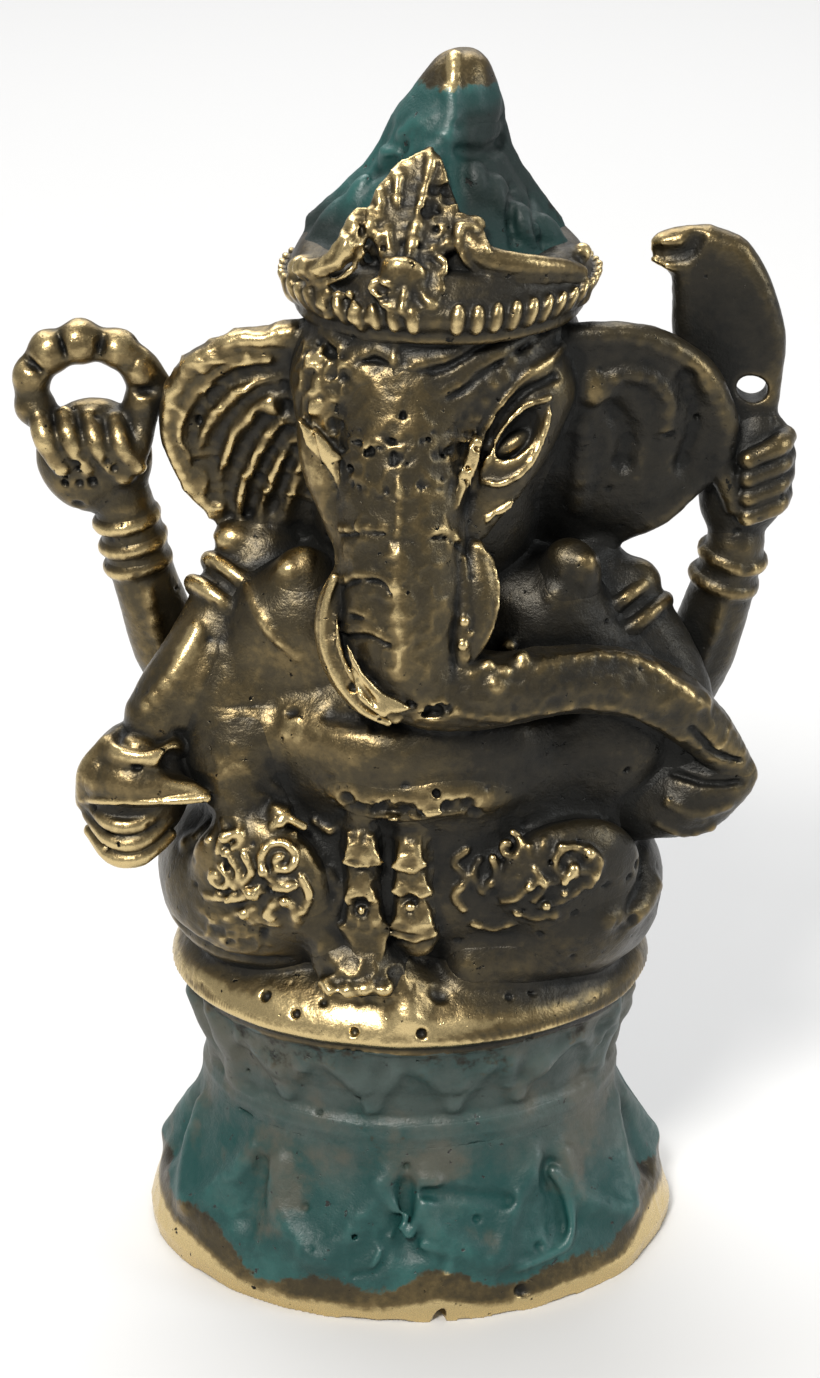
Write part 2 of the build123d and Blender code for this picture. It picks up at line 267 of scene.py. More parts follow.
    def spiral(self, x, z, radius, turns, thick, side=1, start=0.0, lift=0.0):
        """A raised spiral about (x, z) on the front, opening out to radius."""
        t = np.linspace(0.12, 1, int(10 * turns) + 2)
        angle = start + side * 2 * math.pi * turns * t
        line = np.column_stack([x + radius * t * np.cos(angle), z + radius * t * np.sin(angle)])
        return self.ridge(line, thick, 0.3, lift)

    def strewn(self, low, high, count, radius, k=0.15, carve=False):
        """Small balls scattered on the front between two (x, z) corners."""
        spots = rng.uniform(low, high, (count, 2))
        sizes = rng.uniform(*radius, count)
        for (sx, sz), size in zip(spots, sizes):
            self.knob(sx, sz, 0, size, k=k, carve=carve)
        return self

    def within(self, low, high):
        """1 between two (x, z) corners, fading to 0 outside."""
        if low is None:
            return np.float32(1)
        x, _, z = self.whole()
        inset = np.minimum(np.minimum(x - low[0], high[0] - x), np.minimum(z - low[1], high[1] - z))
        return np.clip(inset + 0.5, 0, 1)

    def chase(self, amount, cell, seed, low=None, high=None):
        """Fine curling relief, amount high, between two (x, z) corners or over the whole clay."""
        crest = np.clip(1 - np.abs(noise(self.d.shape, cell, seed)) * 2.4, -0.6, 1.0)
        self.d -= amount * crest * self.within(low, high)
        return self

    def pit(self, depth, cell, seed, over=1.2, low=None, high=None):
        """Casting pits where a random field is highest."""
        self.d += depth * np.clip(noise(self.d.shape, cell, seed) - over, 0, 1) * self.within(low, high)
        return self

    def plate(self, outline, middle, turn, thick, dish=0.0, k=0.5, soft=0.8):
        """A plate with an outline in (u, w), turned by Euler degrees and bowed back by dish at its edge."""
        o = np.asarray(outline, float)
        reach = np.abs(o).max() * 1.3 + 3.0
        cut, x, y, z = self.region(np.subtract(middle, reach), np.add(middle, reach))
        u, v, w = turned(x, y, z, middle, turn)
        v = v - dish * (u * u + w * w) / (np.abs(o).max() ** 2)
        edge = np.full(u.shape, 1e9, np.float32)
        inside = np.zeros(u.shape, bool)
        for (au, aw), (bu, bw) in zip(o, np.roll(o, -1, axis=0)):
            eu, ew = bu - au, bw - aw
            t = np.clip(((u - au) * eu + (w - aw) * ew) / max(eu * eu + ew * ew, 1e-9), 0, 1)
            edge = np.minimum(edge, (u - au - t * eu) ** 2 + (w - aw - t * ew) ** 2)
            crosses = (aw > w) != (bw > w)
            with np.errstate(divide="ignore", invalid="ignore"):
                inside ^= crosses & (u < (w - aw) * eu / ew + au)
        edge = np.sqrt(edge) * np.where(inside, -1, 1)
        return self.merge(cut, soft_max(edge, np.abs(v) - thick / 2, soft), k)


def ring_points(centre, along, radius):
    """A closed circle of points about a direction."""
    facing = Vector(along).to_track_quat("Z", "Y").to_matrix()
    turn = np.linspace(0, 2 * math.pi, 25)
    flat = np.column_stack([np.cos(turn), np.sin(turn), np.zeros_like(turn)]) * radius
    return flat @ np.array(facing).T + np.asarray(centre, float)


# ---- the pedestal: an oval turned shape, hollow underneath ----
FOOT, FOOT_DEEP, BELL_TOP = box_mm("base_bell")[1]
SEAT, _, SEAT_TOP = box_mm("seat_slab")[1]
RING_TOP, COLLAR_TOP = (corner[2] for corner in box_mm("base_collar"))
OVAL = FOOT_DEEP / FOOT
WAIST = box_mm("base_ring")[1][0] - 0.9
WALL = 2.6  # the pedestal's metal, mm
# (height, half width) up the pedestal
OUTER = np.array([
    (-2, FOOT + 0.1), (0, FOOT - 0.1), (1.4, FOOT), (3, FOOT - 0.5), (5, FOOT - 1.1), (8, FOOT - 2.6),
    (10.2, FOOT - 3.7), (12.4, FOOT - 4.6), (BELL_TOP, WAIST + 0.15),
    ((BELL_TOP + RING_TOP) / 2, WAIST + 0.25), (RING_TOP - 0.2, WAIST - 0.1), (RING_TOP + 0.6, WAIST - 0.75),
    (RING_TOP + 2.6, WAIST - 0.5), (21, WAIST + 0.4), (COLLAR_TOP - 0.5, SEAT - 1.5),
    (COLLAR_TOP + 0.3, SEAT - 1), (SEAT_TOP - 3.6, SEAT - 0.4),
])


def outer_width(z):
    return np.interp(z, OUTER[:, 0], OUTER[:, 1])


def oval_wall(node, z_low, z_high):
    """The pedestal's wall between two heights, open above and below."""
    clay = Clay(node, blend=0.35, room=3)
    x, y, z = clay.whole()
    rho = np.sqrt(x * x + (y / OVAL) ** 2)
    width = outer_width(z)
    outside = np.maximum((rho - width) * 0.9, np.maximum(z_low - z, z - z_high))
    clay.d = np.maximum(outside, (width - WALL - rho) * 0.9).astype(np.float32)
    return clay


def round_pedestal(points, proud=0):
    """(degrees from the front, z) on the pedestal's surface as (x, y, z)."""
    p = curve(np.insert(np.asarray(points, float), 2, 0, axis=1), step=1.5)
    angle, z = np.radians(p[:, 0]), p[:, 1]
    width = outer_width(z) + proud
    return np.column_stack([width * np.sin(angle), -OVAL * width * np.cos(angle), z])


def draw(clay, points, radius, k, proud=0, carve=False):
    """A raised or carved line along (degrees from the front, z) on the pedestal."""
    clay.tube(round_pedestal(points, proud), radius, k, carve)


def on_pedestal(turn, z):
    """One point of the pedestal's surface."""
    return round_pedestal([(turn, z), (turn + 0.1, z)])[0]


def base_bell():
    """The flared foot: soft pleats all round, scratches at the front, dents in the rim."""
    clay = oval_wall("base_bell", 0, BELL_TOP)
    for turn in range(-180, 180, 40):
        sway = rng.uniform(-4, 4)
        draw(clay, [(turn - 16, 11.4), (turn - 12 + sway, 8), (turn - 3, 5)], 0.38, 2, proud=-0.25)
        draw(clay, [(turn + 15, 11.6), (turn + 9 + sway, 8.4), (turn + 1, 5)], 0.38, 2, proud=-0.25)
        draw(clay, [(turn + 20, 11), (turn + 20 + sway, 6.4)], 0.5, 2.2, proud=0.1, carve=True)
    draw(clay, [(-8, 11.2), (-3, 9), (-1, 7.4)], 0.35, 0.8)
    draw(clay, [(7, 11.4), (3, 9.4), (0, 7.4)], 0.32, 0.8)
    draw(clay, [(-1, 8.8), (-6, 6.4), (-8, 4.6)], 0.3, 0.6)
    draw(clay, [(3, 6.6), (9, 6), (8, 4.4)], 0.3, 0.6)
    draw(clay, [(-12, 4), (-7, 4.6), (-5, 5.8), (-6, 7.2), (-3, 8.6)], 0.3, 0.4, proud=0.2, carve=True)
    draw(clay, [(4, 10.6), (14, 10.2), (24, 9.4)], 0.45, 0.6, proud=0.25, carve=True)
    draw(clay, [(39, 10.4), (41, 8), (37, 4.8), (24, 3.9)], 0.32, 0.6, proud=0.05)
    clay.ball(on_pedestal(6, 0.2), (0.5, 1.2, 1.1), (0, 20, 0), k=0.3, carve=True)
    clay.ball(on_pedestal(25, 1.9), (0.8, 0.4, 0.6), k=0.3, carve=True)
    for turn, z in ((-1, 12.6), (16, 8.2), (-26, 8.6), (30, 5.2), (-13, 7)):
        clay.ball(on_pedestal(turn, z), rng.uniform(0.3, 0.5), k=0.2, carve=True)
    return clay.chase(0.04, 2.4, 31)


def base_ring():
    return oval_wall("base_ring", BELL_TOP, RING_TOP)


def base_collar():
    clay = oval_wall("base_collar", RING_TOP, COLLAR_TOP)
    for turn in range(-180, 180, 24):
        sway = rng.uniform(-6, 6)
        for side in (-1, 1):
            drop = [(turn + 9 * side, 21.8), (turn + 4 * side + sway, 19.8), (turn + sway, 17.8)]
            draw(clay, drop, 0.32, 1.2, proud=-0.1)
        clay.ball(round_pedestal([(turn, 20.4), (turn, 20.5)])[0], (0.8, 0.4, 0.9), k=0.9)
    for turn in (-76, -62, 64, 80):
        draw(clay, [(turn, 22.8), (turn + 5, 20), (turn + 3, 17.2)], 0.7, 1.4, proud=0.1)
    for turn, z in ((14, 19.4), (-14, 18.6), (-52, 18), (40, 20.8)):
        clay.ball(on_pedestal(turn, z), rng.uniform(0.3, 0.5), k=0.2, carve=True)
    return clay.chase(0.07, 2.2, 32)


def seat_slab():
    """A low dome that runs out in a thin lip."""
    clay = Clay("seat_slab", blend=0.5)
    x, y, z = clay.whole()
    rho = np.sqrt(x * x + (y / OVAL) ** 2)
    top = SEAT_TOP - 3.8 + 6.6 * np.sqrt(np.clip(1 - (rho / (SEAT + 0.1)) ** 2, 0, 1))
    side = (rho - np.maximum(outer_width(z), SEAT - 0.1 - 1.4 * (SEAT_TOP - 3.8 - z))) * 0.9
    d = soft_max(side, (z - top) * 0.7, 0.25)
    clay.d = np.maximum(d, COLLAR_TOP - z).astype(np.float32)
    clay.tube([(-1.6, -9.6, 30.4, 1.6), (-0.6, -12.6, 29, 1.3), (-0.2, -15, 27, 0.6)], k=2)
    clay.ball((2.4, -13.9, 28.6), (0.9, 0.7, 0.9), k=0.3, carve=True)
    for x, z in ((-9, 26.4), (-4.4, 25.8), (4.6, 28.4), (-11.4, 27), (-6.8, 27.4), (0.9, 25.9), (9.6, 27.6)):
        clay.knob(x, z, 0, rng.uniform(0.25, 0.5), k=0.15, carve=True)
    return clay.pit(0.5, 1.2, 33, over=1.7)


# ---- the body ----
BODY_X = (box_mm("torso")[0][0] + box_mm("torso")[1][0]) / 2


def torso():
    clay = Clay("torso", blend=1.4)
    clay.ball((BODY_X, -2.8, 46), (14.6, 10.9, 10.2))
    clay.ball((BODY_X, 0.8, 56), (13.8, 8.4, 9), k=3)
    clay.ball((BODY_X, 1.6, 35), (16.6, 10.4, 9.6), k=3)
    clay.tube([(BODY_X - 9.2, -4.2, 36.2, 8.9), (BODY_X + 8.4, -4.2, 36.2, 8.9)], k=2, smooth=False)
    clay.tube([(-8.4, -9.8, 49.8, 1), (-3.8, -11.4, 49.2, 1.9), (1.6, -11.6, 49, 1.7),
               (7.4, -10, 49.2, 0.8)], k=3.5)
    clay.ball((-8.4, -5.6, 56.6), (5.8, 4.2, 5), k=3)
    clay.ball((10.6, -4.6, 56.4), (5.4, 4, 4.8), k=3)
    clay.ball((-14.4, -5, 48.8), (4.8, 4.8, 7.4), k=3)
    clay.ball((15.8, -4.4, 48), (5.6, 5.4, 8), k=3)
    clay.tube([(BODY_X, 8, 63, 0.7), (BODY_X, 9.4, 55, 0.7), (BODY_X, 11.4, 44, 0.6)], k=1.4, carve=True)
    for line in (
        [(-9.6, 0, 59), (-4, 0, 55), (BODY_X, 0, 51.4), (5, 0, 46.6), (9.4, 0, 42)],
        [(-12, 0, 39.9), (-6, 0, 39.5), (BODY_X, 0, 39.4), (7, 0, 39.5), (12.6, 0, 39.9)],
    ):
        cord = curve(np.array(line))
        cord[:, 1] = clay.back(cord[:, 0], cord[:, 2]) - 0.3
        clay.tube(cord, 0.8, k=0.7, smooth=False)
    clay.ridge([(-12.6, 60.2), (-10.6, 57.4), (-8.6, 55.6)], 0.35, k=0.5)
    clay.ridge([(-6, 51.6), (0, 51.8), (6, 51.6), (12, 51)], 0.4, k=1.4, carve=True)
    for line in (
        [(4.4, 40.4), (3.4, 39.4), (4.4, 38.2), (3.5, 36.8), (4.2, 35.6)],
        [(5.4, 39.6), (4.9, 38.4), (5.6, 37.2)],
        [(-6.2, 38.6), (-5.4, 37), (-6, 35.4)],
        [(-7.4, 42.4), (-6.2, 41.8), (-5.2, 42.6)],
        [(5, 34.2), (6.6, 33.6), (8, 34.2)],
    ):
        clay.ridge(line, 0.36, k=0.25, lift=0.25)
    return clay.pit(0.6, 1.3, 34, over=1.5)


def thigh(node):
    clay = Clay(node, blend=1)
    side = math.copysign(1, clay.middle[0])
    clay.ball(clay.middle, clay.half + (0.2, 0.2, 0.3), (0, 0, -side * 14))
    return clay


def right_thigh():
    clay = thigh("right_thigh")
    clay.ridge([(-17.6, 38.6), (-14.6, 41), (-12, 42.6)], 0.5, k=0.8)
    clay.ridge([(-18.6, 31), (-14, 30), (-9.6, 30.2)], 0.35, k=1.2, carve=True)
    return clay.chase(0.16, 0.8, 35, (-16.6, 31.6), (-11, 34.8))


def left_thigh():
    clay = thigh("left_thigh")
    clay.ridge([(18.3, 38.6), (18, 36), (16.6, 33.4)], 0.3, k=1.4, carve=True)
    clay.ridge([(15.6, 34), (18, 33.6), (19.6, 34.6)], 0.5, k=1.4)
    return clay.pit(0.5, 1.2, 36, over=1.5)


def right_shin():
    clay = Clay("right_shin", blend=1.2)
    clay.tube([(-14.4, -6, 48, 3), (-13, -8.6, 43.6, 3.2), (-9.8, -10.6, 37.6, 2.8), (-6.4, -12, 33, 2)])
    clay.ball((-13, -6.8, 47.4), (4.6, 4, 4.2), k=1.5)
    clay.ridge([(-10.6, 44.8), (-8.6, 40.6), (-6.6, 36.6), (-4.8, 33.4)], 0.5, k=0.5)
    clay.ball((-10.2, -11.9, 43.2), 0.9, k=0.6)
    clay.ball((-10, -12.9, 43.4), 0.45, k=0.2, carve=True)
    return clay.chase(0.08, 1.4, 37)


def right_foot():
    clay = Clay("right_foot", blend=1.6)
    clay.ball(clay.middle + (0.4, 0.5, -0.2), clay.half + (0, -0.4, 0.2))
    for i in range(4):
        clay.ball(clay.middle + (-1.9 + 1.4 * i, -2 + 0.1 * (i - 1.5) ** 2, -0.9), (0.75, 1.2, 0.7), k=0.6)
    return clay.chase(0.14, 1.2, 38)


def left_shin():
    clay = Clay("left_shin", blend=1.8)
    clay.tube([(16.6, -6.2, 30.6, 2.3), (11, -9.8, 30.4, 2.3), (5, -11.4, 30, 1.5)])
    return clay


def sash_fold(node, lean, tiers):
    """A hanging pleat in tiers, each a shallow bell over a bright lip."""
    clay = Clay(node, blend=0.5)
    x, y, z = clay.middle
    x -= 1.1
    _, _, tall = clay.half
    clay.tube([(x, y + 0.7, z + tall, 1.6), (x + lean, y + 0.3, z - tall - 0.2, 1.8)], k=1)
    for top, drop, grow in tiers:
        shift = rng.uniform(-0.25, 0.25)
        bell = [(-1.1 * grow, 0.2), (0.9 * grow, 0.3), (1.5 * grow, -drop), (0.3, -drop - 0.3),
                (-1.5 * grow, -drop + 0.1)]
        clay.plate(bell, (x + shift, y - 0.6, z + top), (-18, 0, 0), 1.3, k=0.5, soft=0.6)
        lip = [(x + shift + side * 1.4 * grow, y - 1.2 - 0.3 * (side == 0),
                z + top - drop + 0.1 - 0.3 * (side == 0)) for side in (-1, 0, 1)]
        clay.tube(lip, 0.28, k=0.2)
    clay.ball((x - 0.1, y - 1.7, z - 1.4), (0.8, 0.8, 0.9), k=0.25, carve=True)
    clay.ball((x - 0.1, y - 1.2, z - 1.8), (0.4, 0.5, 0.4), k=0.2)
    return clay.chase(0.08, 0.8, 39)


def right_sash_fold():
    clay = sash_fold("right_sash_fold", 0, ((4.6, 2.2, 1), (1.2, 2.2, 0.8), (-1.4, 1.9, 1.1)))
    x, y, z = clay.middle
    clay.plate([(-2.2, 1.4), (1.8, 1), (1.6, -0.6), (0.6, -2.2), (-0.8, -1)], (x - 0.8, y - 1.2, z - 4.6),
               (-14, 0, 0), 1.4, k=0.4, soft=0.4)
    return clay


def left_sash_fold():
    return sash_fold("left_sash_fold", 0.3, ((3.6, 1.9, 0.8), (1, 1.7, 0.95), (-1.6, 2, 1.05),
                                             (-3.4, 1, 1.1)))


def waist_belt():
    """A short pitted band whose upper edge runs into the belly."""
    clay = Clay("waist_belt", blend=1)
    turn = np.linspace(-0.62, 0.62, 14)
    thick = np.interp(turn, [-0.62, -0.45, 0.30, 0.62], [0.7, 1.6, 1.5, 0.6])
    arc = np.column_stack([BODY_X + 12.2 * np.sin(turn), -2.6 - 10.9 * np.cos(turn),
                           45.4 + 0.3 * np.sin(turn * 9), thick])
    clay.tube(arc, squash=0.8, k=1.2)
    clay.tube(arc[2:10, :3] + (0, -1.1, -0.9), 0.3, k=0.3)
    clay.strewn((-6, 44.2), (5.6, 45.4), 34, (0.35, 0.75), carve=True)
    clay.strewn((-6.4, 46.2), (5, 46.8), 7, (0.2, 0.35), carve=True)
    return clay.pit(0.9, 0.8, 40, over=0.8)


# ---- the head ----
def head():
    clay = Clay("head", blend=1)
    x = clay.middle[0]
    clay.ball((x, -1, 75.4), (11, 9.4, 10.4))
    clay.ball((x - 1.4, -1.6, 65), (8.8, 7.6, 7.6), k=3)
    clay.ball((x - 1.6, -5.4, 77), (9.6, 6.6, 7.6), k=2)
    clay.tube([(-6.2, -7.4, 76.5, 2.4), (-6, -9, 71, 2.1), (-4.8, -10.4, 66.6, 1.5)], k=2)
    clay.tube([(9.6, -7.4, 76, 2.4), (7.4, -9.2, 71.4, 2.3), (4.6, -10.6, 66.8, 1.5)], k=2)
    clay.ridge([(-1, 83.6), (-1.1, 80.6), (-1, 77.6), (-1.2, 76.2)], 0.26, k=0.35, lift=0.1)
    for line in (
        [(-0.4, 77), (2, 76.8), (3.6, 77.4), (5.6, 78.8), (8.6, 80)],
        [(0.2, 78.8), (2.6, 79.2), (4.6, 80.2), (8, 81.4)],
        [(-6.4, 80.2), (-4.4, 79), (-2.6, 79.6), (-1.4, 79)],
        [(-5, 78.2), (-3, 77.6), (-2.2, 76.6)],
        [(-0.4, 75), (1.4, 74.8), (2.6, 75.2)],
    ):
        clay.ridge(line, 0.36, k=0.4, carve=True)
        clay.ridge(np.add(line, (0.2, 0.6)), 0.34, k=0.5)
    left_eye(clay)
    right_eye(clay)
    clay.pit(0.7, 0.5, 41, 0.5, (-5.4, 70.4), (4.6, 74.6))
    clay.chase(0.12, 0.8, 64, (-6, 69.6), (5, 75.6))
    return clay.pit(0.6, 0.8, 42, over=1.6)


def left_eye(clay):
    """The tilted eye at the figure's left: an almond under a long outer lid, beadwork beside it."""
    clay.knob(7.9, 73.6, 0.4, (2.7, 1.1, 1.1), (0, -54, 0), k=0.4, carve=True)
    clay.knob(7.4, 72.6, -0.1, (1.7, 0.9, 0.7), (0, -36, 0), k=0.3)
    clay.ridge([(4.7, 69.8), (5, 72.6), (6.2, 75.4), (8.2, 77.8), (11.2, 79)], 0.3, k=0.2, lift=0.25)
    clay.ridge([(5.3, 70.6), (6.4, 73.8), (8.2, 75.7), (10.2, 76.3)], 0.24, k=0.15, lift=0.3)
    clay.ridge([(5.3, 70.3), (6.8, 70.3), (8.6, 71.4), (9.8, 73.6), (10.3, 75.6)], 0.24, k=0.15, lift=0.3)
    clay.ridge([(5.4, 72), (6.4, 74.7), (8.2, 76.7), (10.6, 77.7)], 0.42, k=0.25, carve=True)
    for x, z in ((6, 77.6), (5.4, 76.4), (4.7, 75.2), (3.9, 74.4), (4.3, 73.2), (7.2, 79), (3.6, 72),
                 (6.8, 77.9)):
        clay.knob(x, z, 0.35, (0.65, 0.6, rng.uniform(0.6, 0.95)), (0, rng.uniform(-50, 10), 0), k=0.25)
    clay.eyelet(4.3, 74, 0.55, 0.2)
    clay.ridge([(8.6, 79.4), (9.6, 79.9), (11.4, 80.2)], 0.25, k=0.3)
    clay.plate([(-0.3, 2.8), (0.5, 2.4), (0.35, -0.4), (-0.5, -2.8), (-0.6, -0.4)], (4.4, -12.3, 71.6),
               (-6, 10, 0), 1.3, k=0.12, soft=0.2)
    clay.plate([(-1.3, -0.5), (1.1, 0.7), (1, 0), (-1.1, -1.2)], (6.5, -11.2, 68.2), (-8, 0, 10), 1.5,
               k=0.15, soft=0.2)


def right_eye(clay):
    """The eye at the figure's right, seen edge on, over sharp cheek folds."""
    clay.ridge([(-6.2, 80), (-7, 77.6), (-7.2, 74.6), (-6.8, 72.6)], 0.28, k=0.25, lift=0.2)
    for x, z in ((-6.9, 78.6), (-5.5, 78.2), (-6.5, 77.1), (-5.1, 76.6), (-6.4, 75.5), (-5.1, 74.9),
                 (-6.1, 74.1), (-4.2, 78.9)):
        clay.knob(x, z, 0.5, (0.85, 0.7, rng.uniform(0.6, 1.1)), (0, rng.uniform(-40, 40), 0), k=0.15)
    clay.chase(0.2, 0.9, 67, (-8.4, 73.8), (-4.4, 80))
    for x, z, tall, wide, slant in ((-7.4, 73.4, 1.9, 0.6, -24), (-6.2, 72.4, 2.6, 0.6, -20),
                                    (-5.2, 71, 2.2, 0.5, -14), (-4.3, 72.4, 0.9, 0.4, -10)):
        y = float(clay.front(x, z)[0]) - 0.1
        clay.plate([(-0.2, tall), (wide, 0.4), (0.4 * wide, -tall), (-0.6 * wide, -0.2)], (x, y, z),
                   (0, slant, 0), 1.6, k=0.1, soft=0.15)


TRUNK = [
    (-0.5, -7.6, 76, 5),
    (-0.5, -9.6, 70, 5),
    (-0.5, -11.2, 63, 5),
    (-0.5, -12.2, 57.8, 4.7),
    (1.8, -12.8, 54.8, 3.7),
    (6.6, -12.8, 54.2, 2.9),
    (12, -11.8, 54.7, 2.6),
    (17.4, -10.4, 53.4, 2.6),
    (22, -8.8, 49.8, 2.3),
    (25.6, -7.8, 45.4, 1.3),
]


def trunk():
    clay = Clay("trunk", blend=0.8)
    clay.tube(TRUNK)
    clay.ridge([(-0.9, 71.4), (-0.7, 69.6), (-0.9, 67.8), (-1.4, 66.8)], 0.24, k=0.25, lift=0.1)
    clay.ridge([(-0.8, 66), (-0.8, 62), (-0.8, 57.4)], 0.5, k=1.2)
    for line in (
        [(-5, 66.6), (-3.4, 67.4), (-1.8, 67.6)],
        [(-5, 62.8), (-3.6, 63.9), (-2, 64.1), (-1.2, 63.4)],
        [(-5, 59.2), (-3, 59.9), (-1.6, 59.5)],
        [(-4.4, 61), (-3, 61.2)],
        [(1.6, 67.2), (2.6, 67), (3.6, 66)],
    ):
        clay.ridge(line, 0.2, k=0.15, carve=True)
        clay.ridge(np.add(line, (0, 0.4)), 0.24, k=0.35)
    clay.ridge([(2.2, 54.4), (6.7, 53), (11.2, 53.4), (15.8, 52.8), (20.6, 49.4)], 0.36, k=0.7)
    clay.ridge([(4, 56.6), (8, 56.4), (13, 56.8), (17.6, 55.8), (22.4, 52)], 0.4, k=0.9)
    clay.ridge([(21.6, 50.2), (23.6, 47.6), (25.6, 46.6)], 0.35, k=0.3, carve=True)
    for x, z in ((4.6, 56.4), (5.8, 56.9), (7, 56.4), (8.4, 57), (6.4, 55.6), (9.6, 56.2)):
        clay.knob(x, z, 0.3, rng.uniform(0.5, 0.8), k=0.4)
    clay.strewn((-3, 53.2), (3, 54.6), 12, (0.25, 0.5), carve=True)
    clay.pit(0.7, 0.5, 65, 0.5, (-5, 70.4), (4.6, 74.6))
    return clay.chase(0.06, 1.2, 43).pit(0.5, 0.9, 44, over=1.8)


def right_tusk():
    """The whole tusk, a thin crescent with a bright wedge inside its curve."""
    clay = Clay("right_tusk", blend=0.35)
    arc = [(-5.6, -13.2, 63.4), (-6.3, -13.8, 61), (-6.3, -14.5, 58.4), (-5.2, -15.4, 55.8), (-3.6, -16, 54),
           (-1.6, -16.3, 53)]
    clay.tube(np.column_stack([np.add(arc, (0.5, 1, 0.1)), [0.6, 1.1, 1.3, 1.3, 1.1, 0.7]]))
    clay.tube(arc, 0.34, k=0.15)
    clay.tube(np.add(arc[1:5], (1, -0.4, 0.5)), 0.24, k=0.15)
    clay.plate([(-1.7, 3.4), (-0.6, 1.2), (0.9, -0.5), (3, -1.7), (0.8, -2.3), (-1, -0.8)],
               (-2.9, -16.5, 56), (-14, 0, 8), 1.4, k=0.15, soft=0.25)
    clay.ridge([(-5.2, 61.4), (-4.9, 59), (-4, 57), (-2.6, 55)], 0.28, k=0.15, carve=True)
    return clay.pit(0.5, 0.9, 45, over=1.2)


def left_tusk():
    """The broken tusk's stump: a ragged edge beside a smooth drop."""
    clay = Clay("left_tusk", blend=0.35)
    clay.tube([(4.9, -12.4, 65.4, 0.7), (5.2, -12.9, 62.6, 1.5), (5, -13.6, 59.8, 1.3),
               (4.4, -14.3, 57.4, 0.5)], k=0.6)
    clay.tube([(3.9, -13.4, 65, 0.4), (4.1, -14, 62, 0.6), (3.9, -14.7, 59, 0.7), (3.9, -15, 56.6, 0.4)],
              k=0.3)
    for x, z in ((4, 64.4), (4.4, 63.4), (3.9, 62.6), (4.3, 61.6), (4, 60.6), (4.4, 59.7), (3.9, 58.9),
                 (4.2, 57.8)):
        clay.knob(x, z, 0.1, rng.uniform(0.25, 0.5), k=0.12)
    clay.ridge([(5.2, 65.8), (6.3, 64), (6.5, 61.6), (5.8, 59.2), (4.6, 57.4)], 0.22, k=0.2, lift=0.1)
    return clay.pit(0.4, 0.6, 46, over=1.1)


RIGHT_EAR = [(-5, 80), (-9.5, 80.6), (-14, 79.4), (-17.8, 76.4), (-19.2, 71.8), (-18.2, 67.8), (-16, 64.6),
             (-13.2, 61.8), (-10.8, 58.8), (-8, 57.4), (-6, 60), (-5, 66)]
LEFT_EAR = [(10, 80), (14.6, 80.4), (19.4, 79.4), (23.4, 76.2), (25.2, 71.4), (23.8, 67.2), (20.8, 64.4),
            (17, 61.8), (14, 58.8), (11.6, 57.8), (9.4, 61), (9, 67)]


def ear(node, outline, turn):
    clay = Clay(node, blend=0.8)
    middle = clay.middle
    smooth = curve(np.insert(np.array(outline + outline[:1]), 1, 0, axis=1), 1.5)
    clay.plate(smooth[:, [0, 2]] - (middle[0], middle[2]), middle, turn, 2, dish=1.4, soft=1.2)
    return clay


def right_ear():
    clay = ear("right_ear", RIGHT_EAR, (14, 0, -8))
    clay.ridge([(-9, 79.8), (-13.6, 78.8), (-17.2, 75.6), (-18.4, 71.4), (-17.2, 67.2), (-14.8, 64),
                (-12, 61.2)], 0.6, k=0.7, lift=0.2)
    ribs = (
        [(-10.6, 77.6), (-12.6, 77.4), (-15, 76), (-17, 72.8), (-16.8, 69.4)],
        [(-9.6, 76.4), (-12.2, 75.6), (-14.6, 73.4), (-16, 70.4), (-15.7, 67)],
        [(-9.4, 75), (-11.8, 73.6), (-13.6, 70.8), (-14.6, 67.6), (-14.4, 64.8)],
        [(-9.6, 73), (-11, 71), (-12.4, 68.2), (-13.2, 65.4), (-13, 63.4)],
        [(-9, 71.2), (-10.2, 68.6), (-11.2, 65.8), (-11.8, 63)],
        [(-8.4, 69.2), (-9.2, 66.6), (-9.8, 64.2)],
    )
    for rib in ribs:
        clay.ridge(rib, 0.4, k=0.9)
    for upper, lower in zip(ribs, ribs[1:]):
        middle = [((a + c) / 2, (b + d) / 2) for (a, b), (c, d) in zip(upper, lower)]
        clay.ridge(middle, 0.32, k=1, carve=True)
    clay.knob(-10.4, 74, 0, (0.8, 0.6, 0.8), k=0.4)
    clay.ridge([(-15.4, 77), (-14, 77.9), (-12.2, 78.2)], 0.5, k=0.4)
    clay.pit(0.5, 1.1, 47, over=1.4)
    return clay.chase(0.10, 1.8, 48)


def left_ear():
    clay = ear("left_ear", LEFT_EAR, (14, 0, 8))
    clay.knob(16.6, 67.4, 1, (4.6, 1.6, 3.6), (0, 30, 0), k=1.5)
    clay.ridge([(12, 79.6), (16.6, 79.6), (21, 77.4), (23.6, 73.4), (23.8, 69.6), (21.4, 66.4), (17.8, 63.6),
                (14.6, 61.4)], 0.4, k=1.4)
    clay.ridge([(14.4, 75.2), (15.6, 76.6), (18, 76.2), (19.4, 74.4), (19.4, 72)], 0.55, k=0.8, lift=0.1)
    clay.ridge([(15.4, 73.6), (16.4, 71.6), (16.2, 69.4)], 0.45, k=1.4, carve=True)
    clay.ridge([(20.6, 76), (21.6, 72.4), (20.8, 69)], 0.35, k=1.2, carve=True)
    clay.ridge([(12.8, 72.6), (13.2, 69.4), (12.8, 65.6)], 0.5, k=1.2)
    clay.knob(13.6, 75.6, 0.1, (0.9, 0.7, 1.4), k=0.6)
    clay.ridge([(10.6, 61.4), (12.2, 60.8), (14.2, 61.6)], 0.6, k=0.5)
    return clay.pit(0.5, 1.1, 49, over=1.5)


